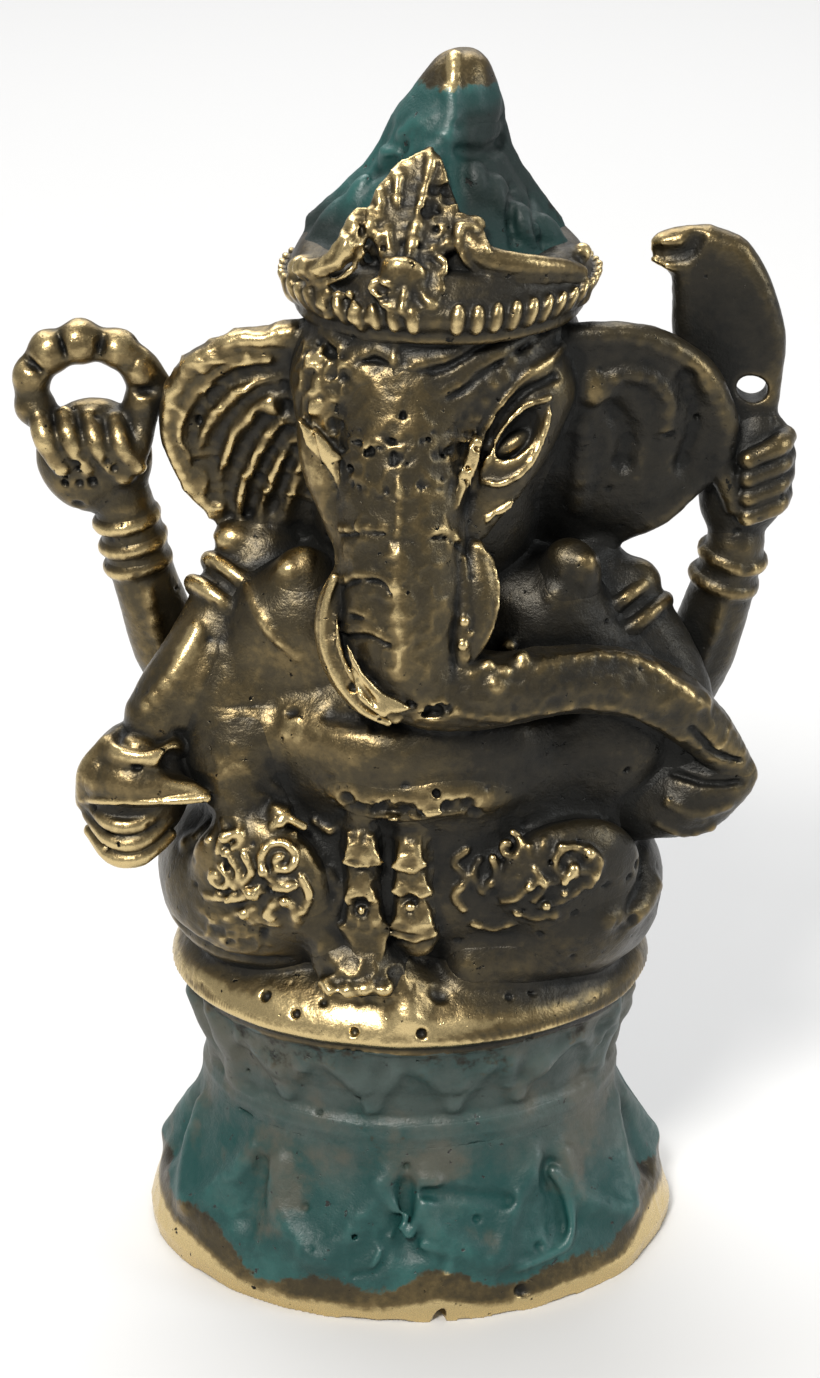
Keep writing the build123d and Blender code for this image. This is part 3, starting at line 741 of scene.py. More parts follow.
def earring(node):
    """A full soft lobe, bright only where it is rubbed."""
    clay = Clay(node, blend=1.2)
    x, y, z = clay.middle + (0.2, 1.5, 2.8)
    side = math.copysign(1, x)
    clay.ball((x, y, z), (2.2, 1.9, 2.7), (0, -18 * side, 0))
    clay.ball((x - 1 * side, y - 1.1, z - 1.4), (1.1, 0.9, 0.8), (0, 30, 0), k=0.8)
    clay.ball((x + 0.9 * side, y - 1, z + 1.2), (0.7, 0.7, 0.6), k=0.8)
    return clay


# ---- the crown ----
def crown_band():
    """A diadem of square beads at the brow that turn into a twisted cord at the sides."""
    clay = Clay("crown_band", blend=0.45)
    x, y, z = clay.middle
    x -= 0.4
    around = np.linspace(-math.pi, math.pi, 60)
    ring = np.column_stack([x + 10.5 * np.sin(around), y - 9.5 * np.cos(around),
                            z + 1 - 0.4 * np.cos(around)])
    clay.tube(ring, 1.15)
    clay.tube((ring - clay.middle) * (0.89, 0.85, 1) + clay.middle + (0, 0, 1.4), 1.5, k=1)
    clay.tube(ring - (0, 0, 1.6), 0.5, k=0.6)
    for angle in np.arange(math.radians(6), math.radians(354), 0.125):
        brow = max(0, math.cos(angle)) ** 3
        at = [np.interp((angle + math.pi) % (2 * math.pi) - math.pi, around, ring[:, i]) for i in range(3)]
        out = np.array([math.sin(angle), -math.cos(angle), 0]) * 0.7
        lean = 35 if angle < math.pi else -35
        clay.ball(at + out * 1.3, (0.42 + 0.2 * brow, 0.7, 1.15), (0, lean * (1 - 0.8 * brow), 0), k=0.12)
    for sx, sy, sz in ((-8, -5.6, 84.8), (-8.4, -4.8, 83), (12, -6, 84.6), (12.7, -4.2, 85.6),
                       (12.5, -5.8, 82.8)):
        clay.ball((sx, sy, sz), rng.uniform(0.7, 1), k=0.5)
        clay.ball((sx, sy - 0.9, sz - 0.2), 0.35, k=0.2, carve=True)
    clay.spiral(-6.2, 83, 1.1, 1.3, 0.28)
    clay.spiral(-3.9, 82.8, 1, 1.2, 0.28, side=-1)
    return clay


def crown_hair():
    clay = Clay("crown_hair", blend=0.6)
    y = clay.middle[1]
    clay.column([(83, 1.9, y, 10.4, 9.2), (84.8, 1.7, y, 10.1, 9), (86, 1.75, y, 9.4, 8.5),
                 (88.7, 2, y, 7.3, 7),
                 (91.1, 2.35, y, 5.3, 5.6), (93, 2.5, y, 4.3, 4.7), (94.7, 2.7, y, 3.9, 4.1),
                 (96.6, 3.2, y, 3.3, 3.3)])
    clay.ridge([(2.7, 97.4), (3.1, 95.6), (2.6, 94.4), (1.8, 93.4)], 0.42, k=0.7, lift=0.15)
    clay.ridge([(1.8, 93.4), (0.2, 93), (-1.8, 92.6)], 0.34, k=0.6)
    clay.ridge([(1.6, 95.6), (0.4, 95), (-0.6, 94.2)], 0.28, k=0.6)
    clay.ridge([(-0.6, 93.2), (-1.6, 92), (-3.6, 90.2)], 0.35, k=1, carve=True)
    clay.ridge([(3.6, 93.4), (5.2, 93), (6.8, 93.2)], 0.5, k=0.7, carve=True)
    clay.ridge([(3.4, 95.2), (5, 95.6), (6.6, 95.2)], 0.35, k=0.8, carve=True)
    for x, z, lean in ((6.5, 89.6, -14), (8.3, 87.6, -18), (10.2, 86.4, -30), (4.9, 90.6, -8)):
        clay.knob(x, z, 0.4, (1.1, 1.2, 2.1), (0, lean, 0), k=0.4)
    clay.ridge([(7.4, 90.4), (7.3, 88.6), (7.6, 86.8)], 0.35, k=0.4, carve=True)
    clay.ridge([(9, 89.2), (9.3, 87.4), (9.8, 85.8)], 0.35, k=0.4, carve=True)
    for x, z, lean in ((-4, 89.2, 24), (-6, 87.4, 34)):
        clay.knob(x, z, 0.6, (0.9, 1, 2.1), (0, lean, 0), k=0.8)
    for turn in range(100, 261, 20):
        a = math.radians(turn)
        side, deep = math.sin(a), -math.cos(a)
        clay.tube([(1.9 + side * 9, y + deep * 8.2, 86.6, 0.8),
                   (2.4 + side * 5.2, y + deep * 5.6, 91.2, 0.6),
                   (3 + side * 3.4, y + deep * 3.6, 95.2, 0.4)], k=0.9)
    return clay.chase(0.04, 1.8, 51)


def crown_finial():
    clay = Clay("crown_finial", blend=0.6)
    x, y = clay.middle[:2]
    clay.column([(94.8, 2.8, y, 3.9, 3.9), (97.2, 3.3, y, 3.05, 3.1), (98.9, 3.7, y, 2.1, 2.2),
                 (99.9, 3.9, y, 1.4, 1.6)])
    clay.ridge([(3.2, 99.6), (3.1, 97.6), (3, 95.6)], 0.4, k=0.5, lift=0.1)
    return clay


def crown_plaque():
    """The pointed plate over the brow, a ridge down its middle and knobs up its sides."""
    clay = Clay("crown_plaque", blend=0.3)
    outline = [(1.1, 6.7), (2, 5.7), (2.7, 4.2), (3.3, 2.2), (2.7, 0.6), (2.3, -0.7), (1.9, -2.4),
               (2.2, -3.8), (1.4, -5.2),
               (-0.8, -6), (-2.4, -5.2), (-3.2, -3.6), (-2.3, -2), (-2.6, -0.6), (-3.4, 1), (-3.3, 2.4),
               (-2.6, 4), (-1.2, 5.6)]
    clay.plate(outline, clay.middle, (-34, 0, 0), 1.8, soft=0.3)
    clay.ridge([(1.5, 93), (1.1, 91.4), (0.6, 89.4), (0.1, 87.4), (-0.3, 85.4), (-0.6, 83.8)], 0.4, k=0.4,
               lift=0.3)
    for line in ([(-0.9, 92), (-1, 90.4)], [(-2.2, 91), (-2.2, 89.4)], [(-2.9, 89.8), (-2.8, 88.6)],
                 [(-1.6, 88.8), (-1.5, 87.6)]):
        clay.ridge(line, 0.34, k=0.25, lift=0.2)
    for x, z in ((-2.2, 88.2), (2.2, 88.6), (2.7, 87.6), (-2.4, 86.8), (1.6, 87.4), (-1.6, 86.4)):
        clay.knob(x, z, 0.2, rng.uniform(0.45, 0.65), k=0.2)
    for x, z in ((-3, 86.4), (2, 86.4)):
        clay.eyelet(x, z, 0.6, 0.22)
    clay.knob(-0.5, 85.6, 0.3, (1.8, 0.8, 1.6), k=0.3)
    clay.ridge([(-1.2, 84.8), (-2.2, 84.6), (-2.9, 85), (-2.3, 85.6), (-1.4, 85.3)], 0.3, k=0.2, lift=0.3)
    clay.ridge([(0.6, 85.2), (1.3, 84.2), (2.2, 83.6), (2.6, 84.3)], 0.38, k=0.25, lift=0.1)
    clay.strewn((1.2, 88.6), (3, 91.4), 9, (0.25, 0.5), carve=True)
    clay.strewn((-2.8, 86.4), (2.6, 88.4), 8, (0.2, 0.35), carve=True)
    return clay.chase(0.07, 0.8, 52).pit(0.4, 0.8, 63, over=1.2)


def right_crown_leaf():
    clay = Clay("right_crown_leaf", blend=0.35)
    clay.tube([(-7.6, -8.4, 85.6, 0.7), (-6, -9.6, 86.2, 0.85), (-4.6, -9.8, 87.3, 0.95),
               (-3.9, -9, 88.7, 0.8), (-3.7, -8.2, 89.5, 0.6)], squash=0.8)
    clay.ridge([(-7.2, 84.8), (-5.6, 84.9), (-4.3, 85.8), (-3.6, 87)], 0.32, k=0.2, lift=0.1)
    clay.ridge([(-7, 85.9), (-5.4, 86.6), (-4.6, 88)], 0.28, k=0.2, lift=0.1)
    clay.ball((-3.4, -9.4, 88.6), 0.45, k=0.15, carve=True)
    clay.beads([(-6.6, -8.4, 84), (-5.4, -9.8, 84), (-4, -10.6, 84.4)], 0.5, 1, k=0.2)
    return clay.chase(0.12, 0.9, 53)


def left_crown_leaf():
    """A long leaf, curled at the plaque and sweeping along the diadem."""
    clay = Clay("left_crown_leaf", blend=0.35)
    clay.tube([(3.7, -8.4, 89.2, 0.6), (4.2, -9.2, 87.8, 0.95), (5.8, -9.8, 86.6, 1.05),
               (8.6, -9.3, 86, 0.85), (11, -7.7, 85.4, 0.7), (12.6, -6.2, 84.7, 0.45)], squash=0.8)
    clay.ball((3.8, -8.6, 86), (1.2, 1.2, 1.2), k=0.5)
    clay.ball((4.6, -8.2, 88.8), (0.9, 0.8, 0.7), k=0.3)
    clay.ridge([(3.5, 88.9), (3.6, 87.4), (4.6, 86), (6.6, 85.3), (8.8, 85.1), (11.2, 84.6), (12.9, 84)],
               0.34, k=0.2, lift=0.3)
    clay.ridge([(3.7, 89), (4.8, 88.7), (5.6, 87.5)], 0.3, k=0.2, lift=0.1)
    clay.beads(clay.laid([(4.8, 84.6), (6, 84.2), (7.2, 84.2)]), 0.35, 0.9, k=0.15)
    return clay


# ---- the arms ----
def limb(node, stations, blend=0.8):
    return Clay(node, blend=blend).tube(stations)


def rear_right_arm():
    clay = limb("rear_right_arm", [(-12, 4.5, 51, 3.6), (-16.4, 3.9, 47.8, 3.3), (-19, 2.4, 50.4, 2.9),
                                   (-20.7, 1, 56.4, 2.6), (-22.3, 0, 64.6, 2.3)])
    clay.ridge([(-20.6, 57.6), (-19.8, 53.4), (-18.6, 50)], 0.4, k=0.8)
    return clay


def rear_left_arm():
    clay = limb("rear_left_arm", [(12.6, 4.5, 51, 3.6), (18.6, 3.9, 45.8, 3.3), (22.4, 2.4, 48.6, 2.9),
                                  (24, 1, 53.8, 2.7), (25.6, 0, 61.2, 2.3)])
    clay.ridge([(24.6, 56.6), (23.6, 52.4), (22.4, 49.4)], 0.4, k=0.8)
    return clay


def front_right_arm():
    clay = limb("front_right_arm", [(-11.4, -1.4, 60.8, 3.2), (-14.2, -3.8, 57.2, 2.9), (-17, -6, 53.2, 2.9),
                                    (-19.8, -7.4, 49.4, 2.5)])
    clay.ball((-13.6, -2.6, 62.4), (1.6, 1.4, 1.3), k=0.6)
    clay.ridge([(-16.4, 56.6), (-18.2, 53.6), (-20.2, 51.2)], 0.4, k=0.8)
    clay.ridge([(-15, 55), (-16.8, 51.8), (-17.6, 49.6)], 0.3, k=0.6)
    return clay.pit(0.4, 1, 62, over=1.6)


def front_left_arm():
    clay = limb("front_left_arm", [(13.6, -0.8, 59.2, 3.4), (17.6, -2.4, 55.2, 3.2), (20.6, -4.2, 50.4, 3.1),
                                   (21.2, -5.6, 45.8, 2.7)])
    clay.ball((17.6, -2.2, 58.6), (2, 1.8, 2), k=1)
    return clay


def rear_right_hand():
    clay = Clay("rear_right_hand", blend=0.7)
    clay.ball((-24.4, -0.2, 68.4), (4.5, 2.6, 4.6), (0, -16, 0))
    for i in range(4):
        x = -27.8 + 1.95 * i
        clay.tube([(x - 0.6, -1.5, 72.2 - 0.2 * i, 0.8), (x - 0.1, -2.7, 70.8 - 0.2 * i, 0.95),
                   (x + 1.1, -2.6, 68.4, 0.7)], k=0.35)
    clay.tube([(-20.4, -1.2, 71.6, 1), (-20.9, -2, 69.6, 1), (-22, -2.2, 67.6, 0.9)], k=0.4)
    clay.strewn((-27, 66.6), (-22, 69.6), 8, (0.3, 0.5), carve=True)
    return clay.pit(0.4, 0.9, 59, over=1.2)


def rear_left_hand():
    clay = Clay("rear_left_hand", blend=0.6)
    clay.ball((26.2, 0, 66.6), (3.6, 2.6, 5.6), (0, 12, 0))
    for i in range(4):
        z = 69.6 - 1.55 * i
        clay.tube([(29, -0.6, z + 0.5, 0.85), (28.2, -2.2, z + 0.2, 0.95), (26, -2.9, z - 0.6, 0.8)], k=0.25)
    clay.tube([(23.6, -1.2, 70.2, 0.8), (24.2, -2.4, 67.6, 0.9), (25, -2.4, 65, 0.7)], k=0.4)
    return clay


def front_right_hand():
    """A fist, its fingers curled round the broken tusk."""
    clay = Clay("front_right_hand", blend=0.6)
    clay.ball((-21.4, -7.6, 43.8), (4.3, 3.8, 5.2), (0, 8, 0))
    for z in (42.2, 40.7, 39.3):
        clay.tube([(-25.2, -8.4, z + 0.7, 0.5), (-23.4, -10.9, z - 0.2, 0.7), (-21.2, -11.2, z - 0.2, 0.75),
                   (-18.8, -9.6, z + 1, 0.5)], k=0.2)
    clay.tube([(-25.4, -8.2, 42.6, 0.8), (-24.9, -9.4, 45.6, 1), (-23.4, -9.2, 47.8, 0.9)], k=0.5)
    return clay.pit(0.4, 0.9, 55, over=1.5)


def front_left_hand():
    """The cupped hand under the tip of the trunk."""
    clay = Clay("front_left_hand", blend=0.6)
    clay.tube([(18.6, -5.6, 41.6, 3.4), (21.8, -6.8, 42.6, 3.4), (24.6, -7.6, 43.8, 2.2),
               (26.3, -7.8, 44.6, 1)])
    clay.ridge([(20.6, 45.2), (23.2, 44.8), (25.8, 44.8)], 0.35, k=0.3, carve=True)
    clay.ridge([(20.2, 43.2), (22.6, 42.4), (24.8, 42.8)], 0.5, k=0.4)
    clay.ridge([(19.6, 41.2), (21.6, 40.2), (23.6, 40.8)], 0.5, k=0.4)
    return clay


def noose_loop():
    """A thick knotted loop."""
    clay = Clay("noose_loop", blend=0.5)
    x, y, z = clay.middle
    around = np.linspace(-math.pi, math.pi, 30)
    ring = np.column_stack([x + 4.35 * np.sin(around), y + 0 * around, z - 1.2 + 3.6 * np.cos(around)])
    clay.tube(ring, 1.2)
    for angle in np.radians((-112, -74, -38, -4, 34, 68, 104)):
        at = (x + 4.45 * math.sin(angle), y, z - 1.2 + 3.8 * math.cos(angle))
        clay.ball(at, (1.5, 1.6, rng.uniform(1.4, 1.75)), (0, math.degrees(angle) + rng.uniform(-20, 20), 0),
                  k=0.7)
    for angle in np.radians((-56, -20, 16, 52, 86)):
        at = (x + 5 * math.sin(angle), y - 1.4, z - 1.2 + 4.3 * math.cos(angle))
        clay.ball(at, (0.35, 0.8, 1.2), (0, math.degrees(angle), 0), k=0.5, carve=True)
    clay.tube([(x + 3.9, y - 0.4, z + 1, 1), (x + 5.4, y, z - 0.4, 0.8), (x + 6.6, y + 0.2, z - 2.4, 0.9)],
              k=0.8)
    return clay.pit(0.4, 0.9, 58, over=1.5)


def axe_blade():
    clay = Clay("axe_blade", blend=0.6)
    outline = [(22.6, 86.6), (20, 86.4), (18, 85.4), (18.4, 83.6), (19.7, 82.6), (20, 79), (20.8, 75),
               (23.2, 71), (27.6, 70.6), (28.8, 76.4), (27.6, 81.6), (25.4, 85.2)]
    middle = clay.middle
    smooth = curve(np.insert(np.array(outline + outline[:1], float), 1, 0, axis=1), 1)
    clay.plate(smooth[:, [0, 2]] - (middle[0], middle[2]), middle, (0, 0, 0), 2.6, soft=1.4)
    clay.ball((26.2, middle[1], 73.9), (1.15, 4, 0.95), (0, 20, 0), k=0.4, carve=True)
    clay.ridge([(18.6, 84.4), (20.6, 84.6), (21.4, 85.6)], 0.5, k=0.5, carve=True)
    clay.ridge([(18.3, 83.9), (19.8, 83.4)], 0.35, k=0.3)
    clay.ridge([(21.2, 75.4), (23.6, 72.8), (25, 70.6)], 0.5, k=0.8)
    return clay


def broken_tusk():
    """The tusk held across the belly: a dished oval stump above a long sharp wedge."""
    clay = Clay("broken_tusk", blend=0.4)
    clay.tube([(-23.4, -9.2, 45.2, 2.1), (-21.4, -10, 45.2, 2.2), (-18.6, -10.4, 44.8, 1.4),
               (-16, -11, 44.4, 0.5)])
    clay.ball((-20.7, -8.8, 47.6), (3.3, 2.9, 1.7), k=0.6)
    clay.ball((-20.7, -9.8, 49), (2.5, 2.3, 0.9), k=0.3, carve=True)
    clay.ball((-20.9, -9.8, 48.4), (1.2, 1.1, 0.6), (0, 10, 0), k=0.4)
    clay.tube([(-25.4, -9.2, 43.2), (-23.8, -11.2, 44), (-21, -12, 44.3), (-18.4, -11.9, 44.3),
               (-15.7, -11.6, 44.4)], 0.3, k=0.2)
    clay.ball((-17.8, -10.6, 46.8), (1.5, 1.2, 1), (0, 30, 0), k=0.7, carve=True)
    return clay.pit(0.3, 1, 61, over=1.4)


def bangles(node, centres, along, radius):
    clay = Clay(node, blend=0.45)
    for centre in centres:
        clay.tube(ring_points(centre, along, radius), 0.6, smooth=False)
    return clay.pit(0.3, 1.2, 60, over=0.8)


def rear_right_bangles():
    return bangles("rear_right_bangles", [(-22.2, 0.2, 63.2), (-21.8, 0.4, 61.2), (-21.5, 0.6, 59.4)],
                   (-0.2, -0.06, 1), 2.25)


def rear_left_bangles():
    return bangles("rear_left_bangles", [(25.4, 0.3, 60), (24.8, 0.4, 57.9)], (0.25, -0.1, 1), 2.3)


def front_right_armlets():
    return bangles("front_right_armlets", [(-13.4, -2.9, 58.8), (-14.7, -3.8, 57.2)], (-0.6, -0.42, -0.62),
                   2.9)


def front_left_armlets():
    return bangles("front_left_armlets", [(16.2, -1.9, 56.8), (17.4, -2.5, 55.2)], (0.6, -0.3, -0.75), 3.3)


def necklace():
    clay = Clay("necklace", blend=0.3)
    clay.beads([(-11.6, -3.4, 60), (-9.4, -6.8, 57.2), (-6.4, -8.8, 55.2)], 0.7, 1)
    clay.beads([(12.2, -2.8, 60.4), (9.6, -6.4, 57.4), (7.2, -8.8, 55.6)], 0.7, 1)
    return clay


def scroll(node, shift, radii, turn, curls, lines, low, high, count, seed):
    """Worn cloth ornament on a thigh: curls (spiral arguments), then lines (radius, blend, lift, points)."""
    clay = Clay(node, blend=0.9)
    clay.ball(clay.middle + shift, radii, turn, k=1)
    for spot, options in curls:
        clay.spiral(*spot, **options)
    for radius, k, lift, line in lines:
        clay.ridge(line, radius, k=k, lift=lift)
    return clay.strewn(low, high, count, (0.25, 0.5), k=0.2).pit(0.6, 0.7, seed, over=1.1)


RIGHT_CURLS = (
    ((-9.9, 40.4, 1.9, 1.7, 0.4), {"start": 0.6, "lift": 0.3}),
    ((-15, 38, 1.1, 1.2, 0.34), {"lift": 0.3}),
    ((-13.9, 42, 1.1, 1.2, 0.34), {"side": -1, "lift": 0.3}),
)
RIGHT_LINES = (
    (0.42, 0.25, 0.3, [(-15.8, 36), (-13.6, 36.5), (-11.6, 37.8), (-9, 38.4)]),
    (0.36, 0.25, 0.25, [(-14.2, 40.4), (-13.2, 39), (-13.6, 37.6)]),
    (0.38, 0.25, 0.3, [(-11.2, 35.4), (-10.4, 36.8), (-9.2, 36.6), (-8.8, 35.2)]),
    (0.36, 0.2, 0.3, [(-12.8, 40.6), (-12.2, 39.2), (-13, 38), (-12, 37.2)]),
    (0.36, 0.2, 0.3, [(-14.8, 40.2), (-14.4, 41.6), (-13.2, 42.2)]),
    (0.36, 0.2, 0.3, [(-16.2, 34.8), (-14.4, 34.2), (-13.4, 35.2), (-12.2, 34.6)]),
    (0.36, 0.2, 0.3, [(-10.6, 42.6), (-9.4, 43.2), (-8.2, 42.6)]),
    (0.36, 0.2, 0.3, [(-8.4, 39), (-7.8, 37.4), (-8.4, 36)]),
    (0.36, 0.2, 0.3, [(-12.6, 35.8), (-11.6, 34.8), (-10.4, 34.6)]),
)
LEFT_CURLS = (
    ((12.2, 39.8, 1.6, 1.3, 0.36), {"side": -1, "start": 2.0, "lift": 0.25}),
    ((7.6, 41, 1.1, 1.2, 0.32), {"lift": 0.25}),
)
LEFT_LINES = (
    (0.38, 0.25, 0.25, [(6.8, 36.4), (8.2, 37), (9.8, 38.6), (11.2, 38.4), (12.6, 39.2), (14.2, 38.8)]),
    (0.34, 0.25, 0, [(8.6, 41.4), (9.8, 40.2), (10.4, 41.6)]),
    (0.36, 0.25, 0.2, [(13.8, 38), (12.2, 36.8), (10.2, 36.2)]),
    (0.36, 0.25, 0.2, [(6.4, 40), (6.8, 38.6), (6, 37.4)]),
    (0.34, 0.2, 0.25, [(9.6, 39.6), (10.4, 38.2), (9.6, 36.8)]),
    (0.34, 0.2, 0.25, [(13.8, 40.8), (14.6, 39.4), (14, 37.6)]),
    (0.34, 0.2, 0.25, [(8.2, 35.6), (9.8, 35), (11.2, 35.6)]),
)


def right_thigh_scroll():
    return scroll("right_thigh_scroll", (-0.4, 0.9, -0.4), (5.6, 2.3, 5.6), (8, 0, -20), RIGHT_CURLS,
                  RIGHT_LINES,
                  (-16, 33.6), (-8.4, 43), 22, 68)


def left_thigh_scroll():
    return scroll("left_thigh_scroll", (-0.6, 0.9, -0.2), (6, 2.3, 5), (8, 0, 20), LEFT_CURLS, LEFT_LINES,
                  (6, 34.6), (14.4, 41.4), 16, 69)


# one maker per node; the order settles each one's random draws
SCULPT = [
    base_bell, base_ring, base_collar, seat_slab, torso, right_thigh, left_thigh, right_shin, right_foot,
    left_shin, right_sash_fold, left_sash_fold, waist_belt, head, trunk, right_tusk, left_tusk, right_ear,
    left_ear, lambda: earring("right_earring"), lambda: earring("left_earring"), crown_band, crown_hair,
    crown_finial, crown_plaque, right_crown_leaf, left_crown_leaf, rear_right_arm, rear_left_arm,
    rear_right_hand, rear_left_hand, noose_loop, axe_blade, front_right_arm, front_left_arm,
    front_right_hand, front_left_hand, broken_tusk, rear_right_bangles, rear_left_bangles,
    front_right_armlets, front_left_armlets, necklace, right_thigh_scroll, left_thigh_scroll,
]


# ---- blending all the clay, then splitting it again ----
def smoothed(field, reach):
    """A field blurred twice along each axis by a box filter that reaches so many millimetres."""
    radius = max(1, round(reach / VOXEL))
    out = field
    for axis in range(3):
        for _ in range(2):
            padded = np.pad(out, [(radius + 1, radius) if a == axis else (0, 0) for a in range(3)],
                            mode="edge")
            total = np.cumsum(padded, axis=axis, dtype=np.float64)
            ahead = np.take(total, range(2 * radius + 1, total.shape[axis]), axis=axis)
            behind = np.take(total, range(0, total.shape[axis] - 2 * radius - 1), axis=axis)
            out = ((ahead - behind) / (2 * radius + 1)).astype(np.float32)
    return out


def sample(field, low, points):
    """The field's value at each point, between the nearest voxels."""
    s = np.clip((points - low) / VOXEL, 0, np.array(field.shape) - 1.001)
    i = s.astype(int)
    t = (s - i).astype(np.float32)
    total = 0.0
    for corner in np.ndindex(2, 2, 2):
        weight = np.prod(np.where(corner, t, 1 - t), axis=1)
        total = total + weight * field[tuple((i + corner).T)]
    return total


clays = [make() for make in SCULPT]

nearest = np.full(GRID_SIZE, 2 * FAR, np.float32)
second = np.full(GRID_SIZE, 2 * FAR, np.float32)
owner = np.full(GRID_SIZE, -1, np.int8)
casting = np.full(GRID_SIZE, FAR, np.float32)
for index, clay in enumerate(clays):
    here = clay.window
    wins = clay.d < nearest[here]
    second[here] = np.where(wins, nearest[here], np.minimum(second[here], clay.d))
    owner[here][wins] = index
    nearest[here] = np.minimum(nearest[here], clay.d)
    casting[here] = soft_min(casting[here], clay.d, clay.blend)

# the skin of a rough casting: broad unevenness, sand grain and pits
casting += 0.09 * noise(casting.shape, 3.2, 1) + 0.018 * noise(casting.shape, 1.1, 2)
casting += 0.012 * noise(casting.shape, 0.5, 3) + 0.5 * np.clip(noise(casting.shape, 0.8, 4) - 2.1, 0, 1)

OVERLAP = 0.35  # how far a piece runs on under its neighbour, mm
DIVE = 0.35  # and how steeply it sinks there

# above zero on edges and below it in creases; above zero in the open and below it in hollows
fine = smoothed(casting, 0.5) - casting
broad = smoothed(np.clip(casting, -1.5, 1.5), 1.75)


# ---- metal ----
def node_tools(tree):
    """Short ways to add and join shader nodes."""

    def add(kind, **values):
        node = tree.nodes.new(kind)
        for key, value in values.items():
            setattr(node, key, value)
        return node

    def put(socket, value):
        if isinstance(value, bpy.types.NodeSocket):
            tree.links.new(value, socket)
        else:
            socket.default_value = value

    def math_node(operation, a, b=0.0, c=None, clamp=False):
        node = add("ShaderNodeMath", operation=operation, use_clamp=clamp)
        put(node.inputs[0], a)
        put(node.inputs[1], b)
        if c is not None:
            put(node.inputs[2], c)
        return node.outputs[0]

    def mix(factor, a, b):
        node = add("ShaderNodeMix", data_type="RGBA")
        put(node.inputs[0], factor)
        put(node.inputs[6], a)
        put(node.inputs[7], b)
        return node.outputs[2]

    def ramp(value, low, high):
        node = add("ShaderNodeMapRange", clamp=True, interpolation_type="SMOOTHSTEP")
        put(node.inputs["Value"], value)
        node.inputs["From Min"].default_value = low
        node.inputs["From Max"].default_value = high
        return node.outputs["Result"]

    return add, put, math_node, mix, ramp


def colour(r, g, b):
    return (r, g, b, 1.0)


# from a sooty recess to a rubbed edge: how far along, and the metal's colour there; painted highlights and
# painted shade take their colours from this scale too
WEAR_AND_LIGHT_COLOURS = [
    (0.00, colour(0.011, 0.011, 0.010)),
    (0.30, colour(0.028, 0.025, 0.019)),
    (0.55, colour(0.078, 0.063, 0.037)),
    (0.78, colour(0.205, 0.152, 0.074)),
    (1.00, colour(0.62, 0.48, 0.24)),
]
SOOT_AND_SHADE_COLOUR = WEAR_AND_LIGHT_COLOURS[0][1]
GRAIN_HEIGHT = 0.00014  # the finest surface grain, metres
TEAL = colour(0.004, 0.040, 0.037)
TEAL_LIGHT = colour(0.010, 0.072, 0.065)
TEAL_DUST = colour(0.065, 0.062, 0.045)
SLATE = colour(0.042, 0.050, 0.043)


def new_material(name):
    material = bpy.data.materials.new(name)
    material.use_nodes = True
    return material, material.node_tree.nodes["Principled BSDF"]


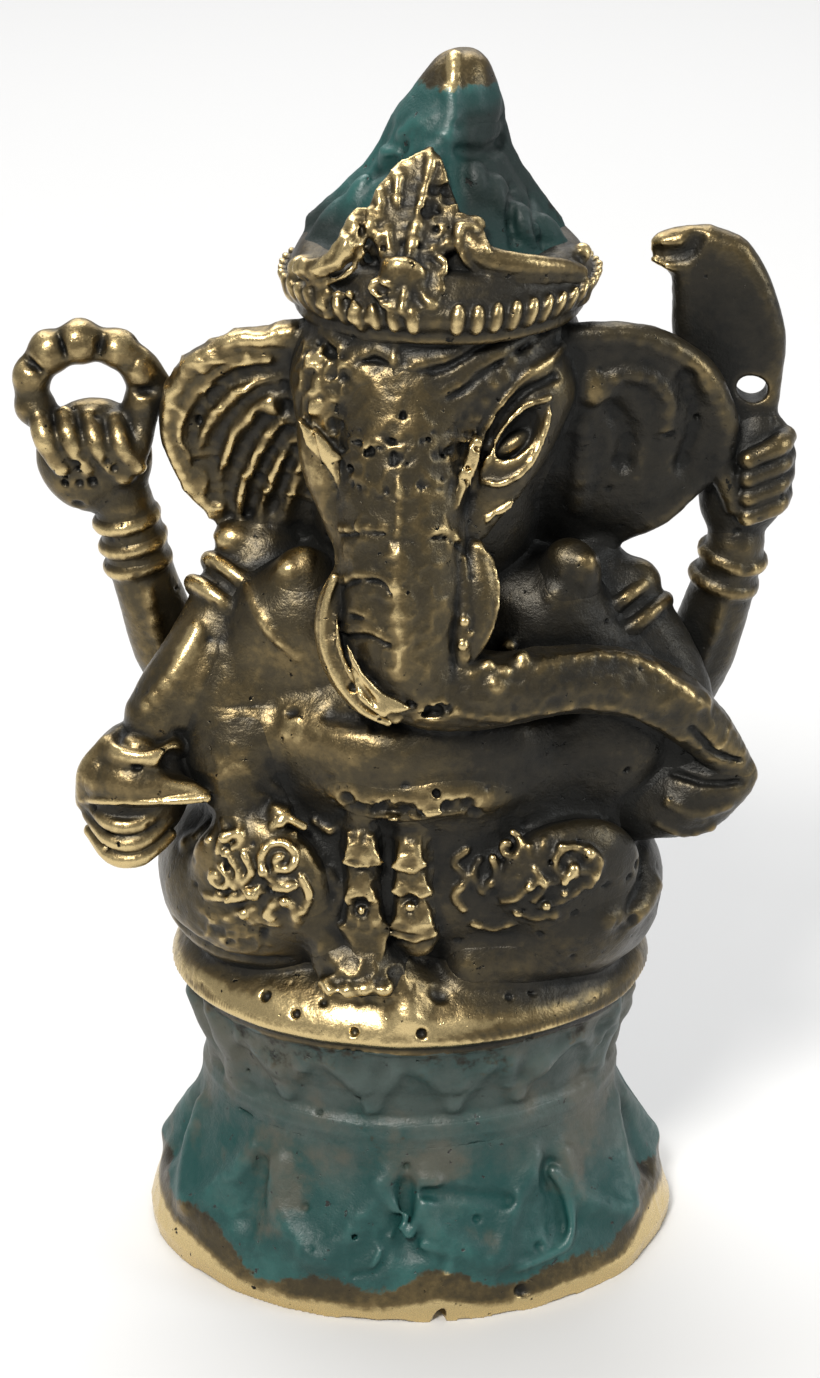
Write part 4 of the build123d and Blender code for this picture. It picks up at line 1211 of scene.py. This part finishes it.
def metal(name, rub):
    """Patinated brass, coloured by the mesh's own rubbing, soot, green and dust, which carry painted
    highlights and painted shade as well; rub brightens it all.
    """
    material, shader = new_material(name)
    add, put, math_node, mix, ramp = node_tools(material.node_tree)
    where = add("ShaderNodeTexCoord").outputs["Object"]

    def grain(scale, detail=4.0, rough=0.6):
        node = add("ShaderNodeTexNoise")
        put(node.inputs["Vector"], where)
        node.inputs["Scale"].default_value = scale
        node.inputs["Detail"].default_value = detail
        node.inputs["Roughness"].default_value = rough
        return math_node("SUBTRACT", node.outputs["Fac"], 0.5)

    def attribute(which):
        return add("ShaderNodeAttribute", attribute_name=which).outputs["Fac"]

    wear_and_light, soot_and_shade, verdigris, dusty = (attribute(which) for which in ("wear_and_light", "soot_and_shade", "green", "dusty"))
    blotch, speck, dust = grain(200.0, 6.0, 0.65), grain(1500.0), grain(5200.0, 2.0)
    pits = ramp(grain(1050.0, 3.0), 0.17, 0.23)

    # 0 in a sooty recess, 1 on a rubbed edge, with painted highlights and painted shade mixed in
    level = math_node("MULTIPLY_ADD", blotch, 0.85, wear_and_light)
    level = math_node("MULTIPLY_ADD", speck, 0.4, level)
    level = math_node("MULTIPLY_ADD", soot_and_shade, -0.55, math_node("ADD", level, rub))
    lit_and_worn = math_node("MULTIPLY_ADD", level, 0.85, 0.22, clamp=True)
    scale = add("ShaderNodeValToRGB")
    stops = scale.color_ramp.elements
    while len(stops) < len(WEAR_AND_LIGHT_COLOURS):
        stops.new(0.5)
    for stop, (place, shade) in zip(stops, WEAR_AND_LIGHT_COLOURS):
        stop.position, stop.color = place, shade
    put(scale.inputs["Fac"], lit_and_worn)

    # green paint, slate and dust over the metal
    edge = math_node("MULTIPLY_ADD", blotch, 0.9, math_node("MULTIPLY_ADD", speck, 0.5, verdigris))
    cover = ramp(edge, 0.42, 0.58)
    # lighter teal where the level is higher, so the painted highlights and painted shade reach the green
    # paint too
    paint = mix(ramp(math_node("MULTIPLY_ADD", blotch, 1.6, level), 0.1, 0.9), TEAL, TEAL_LIGHT)
    cloud = math_node("MULTIPLY_ADD", blotch, 2.2, dusty)
    paint = mix(math_node("MULTIPLY", ramp(cloud, 0.1, 0.9), 0.75), paint, SLATE)
    smear = math_node("MULTIPLY_ADD", grain(125.0, 5.0), 2.6, math_node("MULTIPLY", dusty, 0.4))
    paint = mix(math_node("MULTIPLY", ramp(smear, 0.2, 0.6), 0.8), paint, TEAL_DUST)
    # painted shade and soot: the green paint goes to the darkest colour in recesses and on the shaded side
    # of the hair
    paint = mix(math_node("MULTIPLY", soot_and_shade, 0.9, clamp=True), paint, SOOT_AND_SHADE_COLOUR)
    put(shader.inputs["Base Color"], mix(pits, mix(cover, scale.outputs["Color"], paint), SOOT_AND_SHADE_COLOUR))

    bare = math_node("SUBTRACT", 1.0, cover, clamp=True)
    shine = math_node("MULTIPLY_ADD", lit_and_worn, 0.9, 0.40, clamp=True)
    put(shader.inputs["Metallic"], math_node("MULTIPLY", bare, shine))
    rough = math_node("MULTIPLY_ADD", lit_and_worn, -0.16, math_node("MULTIPLY_ADD", cover, 0.12, 0.44))
    put(shader.inputs["Specular IOR Level"], math_node("MULTIPLY_ADD", lit_and_worn, 0.5, 0.2))
    put(shader.inputs["Roughness"], math_node("MULTIPLY_ADD", dust, 0.25, rough))

    bump = add("ShaderNodeBump")
    put(bump.inputs["Strength"], math_node("MULTIPLY_ADD", lit_and_worn, -0.35, 0.6))
    bump.inputs["Distance"].default_value = GRAIN_HEIGHT
    relief = math_node("MULTIPLY_ADD", pits, -1.5, math_node("MULTIPLY_ADD", dust, 0.5, speck))
    put(bump.inputs["Height"], relief)
    put(shader.inputs["Normal"], bump.outputs["Normal"])
    return material


METALS = {
    "dark_patina_brass": metal("dark_patina", 0.0),
    "polished_brass": metal("worn_brass", 0.08),
    "green_patina_brass": metal("green_patina", -0.02),
}
slot_of = {entry["node"]: entry["material_slot"] for entry in frame["record"]["subparts"]}


# ---- meshes ----
def link(name, data):
    thing = bpy.data.objects.new(name, data)
    bpy.context.scene.collection.objects.link(thing)
    return thing


def cast(index, clay):
    """The closed mesh of one node, with its rubbing, patina, painted highlights and painted shade as vertex
    values.
    """
    here = clay.window
    rival = np.where(owner[here] == index, second[here], nearest[here])
    gap = clay.d - rival
    field = np.maximum(casting[here] + DIVE * np.maximum(gap, 0), 0.5 * gap - OVERLAP)
    field = np.pad(field, 1, constant_values=FAR)
    grid = vdb.FloatGrid(FAR)
    grid.copyFromArray(field.astype(np.float32))
    points, _, quads = grid.convertToPolygons(isovalue=0.0, adaptivity=0.0)
    points = clay.low - VOXEL + points * VOXEL
    mesh = bpy.data.meshes.new(clay.node)
    mesh.from_pydata(points * MM, [], quads[:, ::-1].tolist())
    mesh.update()
    mesh.shade_smooth()
    for attribute, values in looks(points, clay.node).items():
        mesh.attributes.new(attribute, "FLOAT", "POINT").data.foreach_set("value", values.astype(np.float32))
    mesh.materials.append(METALS[slot_of[clay.node]])
    piece = link(clay.node + "_casting", mesh)
    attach(piece, "root")
    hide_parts(clay.node)


# how much brighter or darker a node is rubbed than the rest; the darker values of the nodes with x above 0
# (the figure's left) are partly painted shade
RUBBED_AND_SHADED = {
    "crown_plaque": -0.20, "crown_finial": -0.12, "right_crown_leaf": -0.18, "left_crown_leaf": -0.18,
    "crown_band": -0.16, "right_tusk": -0.02, "left_tusk": -0.14, "waist_belt": -0.06,
    "right_sash_fold": -0.08, "left_sash_fold": -0.04, "right_thigh_scroll": 0.04,
    "left_thigh_scroll": -0.10, "right_earring": -0.04, "left_earring": -0.25, "seat_slab": 0.06,
    "noose_loop": -0.20, "rear_right_hand": -0.06, "rear_right_bangles": -0.08, "rear_left_hand": -0.14,
    "rear_left_bangles": -0.06, "front_right_hand": 0.04, "broken_tusk": 0.06, "left_ear": -0.22,
    "right_thigh": 0.04, "left_thigh": -0.10, "axe_blade": -0.28, "torso": -0.04, "trunk": 0.03,
    "front_left_hand": -0.14, "front_left_arm": -0.12, "front_left_armlets": -0.10, "right_foot": -0.12,
    "left_shin": -0.08, "front_right_arm": 0.04,
}
# spots rubbed bright or left dark, a painted highlight and painted shade among them: node, then x and z in
# mm, half width, half height, and how much
RUBBED_LIT_AND_SHADED_SPOTS = (
    ("head", -6.2, 72.6, 1.8, 3.0, 0.55),
    ("head", 4.5, 71.4, 0.9, 2.6, 0.50),
    ("head", 6.5, 68.2, 1.5, 1.0, 0.45),
    ("head", 7.4, 72.6, 1.6, 0.8, 0.50),
    ("right_tusk", -2.2, 55.4, 2.4, 2.6, 0.40),
    ("torso", -6.0, 49.6, 5.0, 1.8, 0.16),
    ("torso", -11.0, 53.0, 5.0, 5.5, 0.34),
    ("head", -0.5, 72.6, 3.4, 1.4, -0.22),
    ("trunk", -0.5, 72.6, 3.4, 1.4, -0.22),
    ("left_ear", 13.8, 75.8, 1.0, 1.6, 0.55),
    # painted highlight: a bright patch at the front of the seat
    ("seat_slab", -4.6, 26.6, 9.0, 1.6, 0.30),
    ("head", -1.0, 79.0, 6.5, 4.0, -0.14),
    ("front_right_arm", -16.4, 55.4, 1.6, 3.4, 0.25),
    ("crown_finial", 2.9, 98.6, 0.5, 2.0, 0.35),
    # painted shade on the crown's side with x above 0
    ("crown_band", 7.4, 84.4, 4.6, 1.5, -0.26),
    ("left_crown_leaf", 8.5, 85.4, 4.0, 1.2, -0.12),
)
PEDESTAL = ("base_bell", "base_ring", "base_collar")


PLAIN_WEAR, EDGE_WEAR, OPEN_WEAR = 0.26, 3.6, 0.45  # of flat metal, more on edges, more in the open
FLAT = 0.02  # an edge value this small counts as flat


def looks(points, node):
    """How rubbed, how sooty and how green each vertex is, with painted highlights and painted shade laid
    into the rubbing and the soot.
    """
    x, y, z = points.T
    front = y < 0
    edge = sample(fine, GRID_LOW, points)
    edge = np.sign(edge) * np.maximum(np.abs(edge) - FLAT, 0)
    open_air = sample(broad, GRID_LOW, points)
    wear_and_light = PLAIN_WEAR + EDGE_WEAR * edge + OPEN_WEAR * open_air + RUBBED_AND_SHADED.get(node, 0.0)
    for spot, at_x, at_z, wide, tall, more in RUBBED_LIT_AND_SHADED_SPOTS:
        if spot == node:
            wear_and_light += more * np.exp(-(((x - at_x) / wide) ** 2) - ((z - at_z) / tall) ** 2) * front
    # dark patina in recesses, which the casting has, together with painted shade in the same recesses
    soot_and_shade = np.clip(-0.15 - 1.3 * open_air - 2.0 * edge, 0, 1)
    dusty = np.full_like(x, 0.1)
    green = np.zeros_like(x)
    if node in PEDESTAL:
        angle = np.arctan2(x, -y)
        ragged = np.sin(angle * 5 + 1.0) + np.sin(angle * 11)
        flank = np.abs(x / FOOT) ** 4
        green = 0.5 + (z - 3.3 - 0.7 * ragged - 2.4 * flank) * 0.35
        heights = [3.0, 9.0, BELL_TOP, RING_TOP, COLLAR_TOP - 2, COLLAR_TOP]
        green = np.minimum(green, np.interp(z, heights, [0.95, 0.9, 0.72, 0.70, 0.64, 0.56]))
        dusty = np.interp(z, [4.0, 8.0, 12.0, RING_TOP, COLLAR_TOP], [-0.25, 0.05, 0.45, 0.75, 0.7])
        dusty += 0.25 * np.clip((x - 8) / 8, 0, 1)
        wear_and_light += 0.6 * np.clip(1.7 - z + 0.3 * ragged + 2.6 * flank, 0, 1) - 0.12 * np.clip(z - 4, 0, 1)
    elif node in ("crown_hair", "crown_finial"):
        green = 0.85 - 0.5 * np.clip(edge, 0, 1) - 0.15 * np.clip((x - 3) / 3, 0, 1)
        green = np.minimum(green, 0.5 + (97.6 - z) * 0.5)
        # painted shade: the hair's side with x above 2 (the figure's left) is made darker and, below the
        # finial, pushed towards soot
        wear_and_light -= 0.30 * np.clip((x - 2) / 4, 0, 1) * np.clip(98 - z, 0, 1)
        shade = np.clip((x - 2.8) / 1.5, 0, 1) * np.clip((97.5 - z) / 2, 0, 1)
        soot_and_shade = np.maximum(soot_and_shade, shade * np.interp(z, [85, 90], [0.35, 0.85]))
        # below 89.5 mm and at x under 2 the hair is pushed towards soot as well
        soot_and_shade = np.maximum(soot_and_shade, 0.9 * np.clip((89.5 - z) / 2, 0, 1) * (x < 2))
        dusty = np.full_like(x, -0.3)
    elif node == "seat_slab":
        soot_and_shade *= 0.2
        # painted highlight at the front of the seat left of the middle, and painted shade towards its side
        # with x above 1; below 24.6 mm the seat is darker as well
        wear_and_light += 0.22 * np.exp(-(((x + 5) / 6) ** 2)) * front - 0.3 * np.clip((x - 1) / 9, 0, 1)
        wear_and_light -= 0.3 * np.clip(24.6 - z, 0, 1)
    else:
        # painted shade: the figure's side with x above 2, from 30 mm up to the crown band, is made darker
        wear_and_light -= 0.24 * np.clip((x - 2) / 7, 0, 1) * np.clip((z - 30) / 6, 0, 1) * np.clip((84 - z) / 3, 0, 1)
    return {"wear_and_light": wear_and_light, "soot_and_shade": soot_and_shade, "green": green, "dusty": dusty}


for index, clay in enumerate(clays):
    cast(index, clay)

# ---- stage, light and camera ----
FLOOR = 3.0  # half the floor's width, metres


def face_towards(thing, place, target):
    """Stand a light or camera at a place, looking at the target."""
    thing.location = place
    thing.rotation_euler = (Vector(target) - Vector(place)).to_track_quat("-Z", "Y").to_euler()


def lay_floor():
    mesh = bpy.data.meshes.new("floor")
    mesh.from_pydata([(x * FLOOR, y * FLOOR, 0) for x, y in ((-1, -1), (1, -1), (1, 1), (-1, 1))], [],
                     [(0, 1, 2, 3)])
    material, shader = new_material("floor")
    shader.inputs["Base Color"].default_value = colour(0.55, 0.55, 0.55)
    shader.inputs["Roughness"].default_value = 0.8
    mesh.materials.append(material)
    link("floor", mesh)


lay_floor()

# name, place, watts, size, what it faces, tint
LIGHTS = (
    ("key", (-0.14, -0.36, 0.46), 3.5, (0.12, 0.12), (0, 0, 0.05), (1.0, 0.97, 0.92)),
    ("side", (0.42, -0.10, 0.22), 0.8, (0.12, 0.25), (0, 0, 0.06), (0.95, 0.98, 1.0)),
    ("overhead", (-0.1, 0.30, 0.70), 4.2, (0.6, 0.4), (0, 0, 0.05), (1, 1, 1)),
    ("backdrop", (0.0, 0.75, 0.60), 4.2, (1.2, 0.5), (0, 0.65, 0), (1, 1, 1)),
)
for name, place, power, size, target, tint in LIGHTS:
    light = bpy.data.lights.new(name, "AREA")
    light.energy, light.shape, light.color = power, "RECTANGLE", tint
    light.size, light.size_y = size
    face_towards(link(name, light), place, target)

world = bpy.data.worlds.new("studio")
world.use_nodes = True
background = world.node_tree.nodes["Background"]
background.inputs["Color"].default_value = colour(0.95, 0.95, 0.95)
background.inputs["Strength"].default_value = 0.42
bpy.context.scene.world = world

TARGET = Vector((0, 0, 0.0485))  # the middle of the figure's height, nearly
BACK = 0.230  # from there to the camera, metres
TILT = math.radians(24)  # how far the camera looks down
SENSOR, LENS = 36.0, 74.743106  # millimetres
lens = bpy.data.cameras.new("camera")
lens.sensor_fit, lens.sensor_height, lens.lens = "VERTICAL", SENSOR, LENS
camera = link("camera", lens)
face_towards(camera, TARGET + BACK * Vector((0, -math.cos(TILT), math.sin(TILT))), TARGET)
bpy.context.scene.camera = camera
bpy.context.scene.view_settings.view_transform = "Standard"
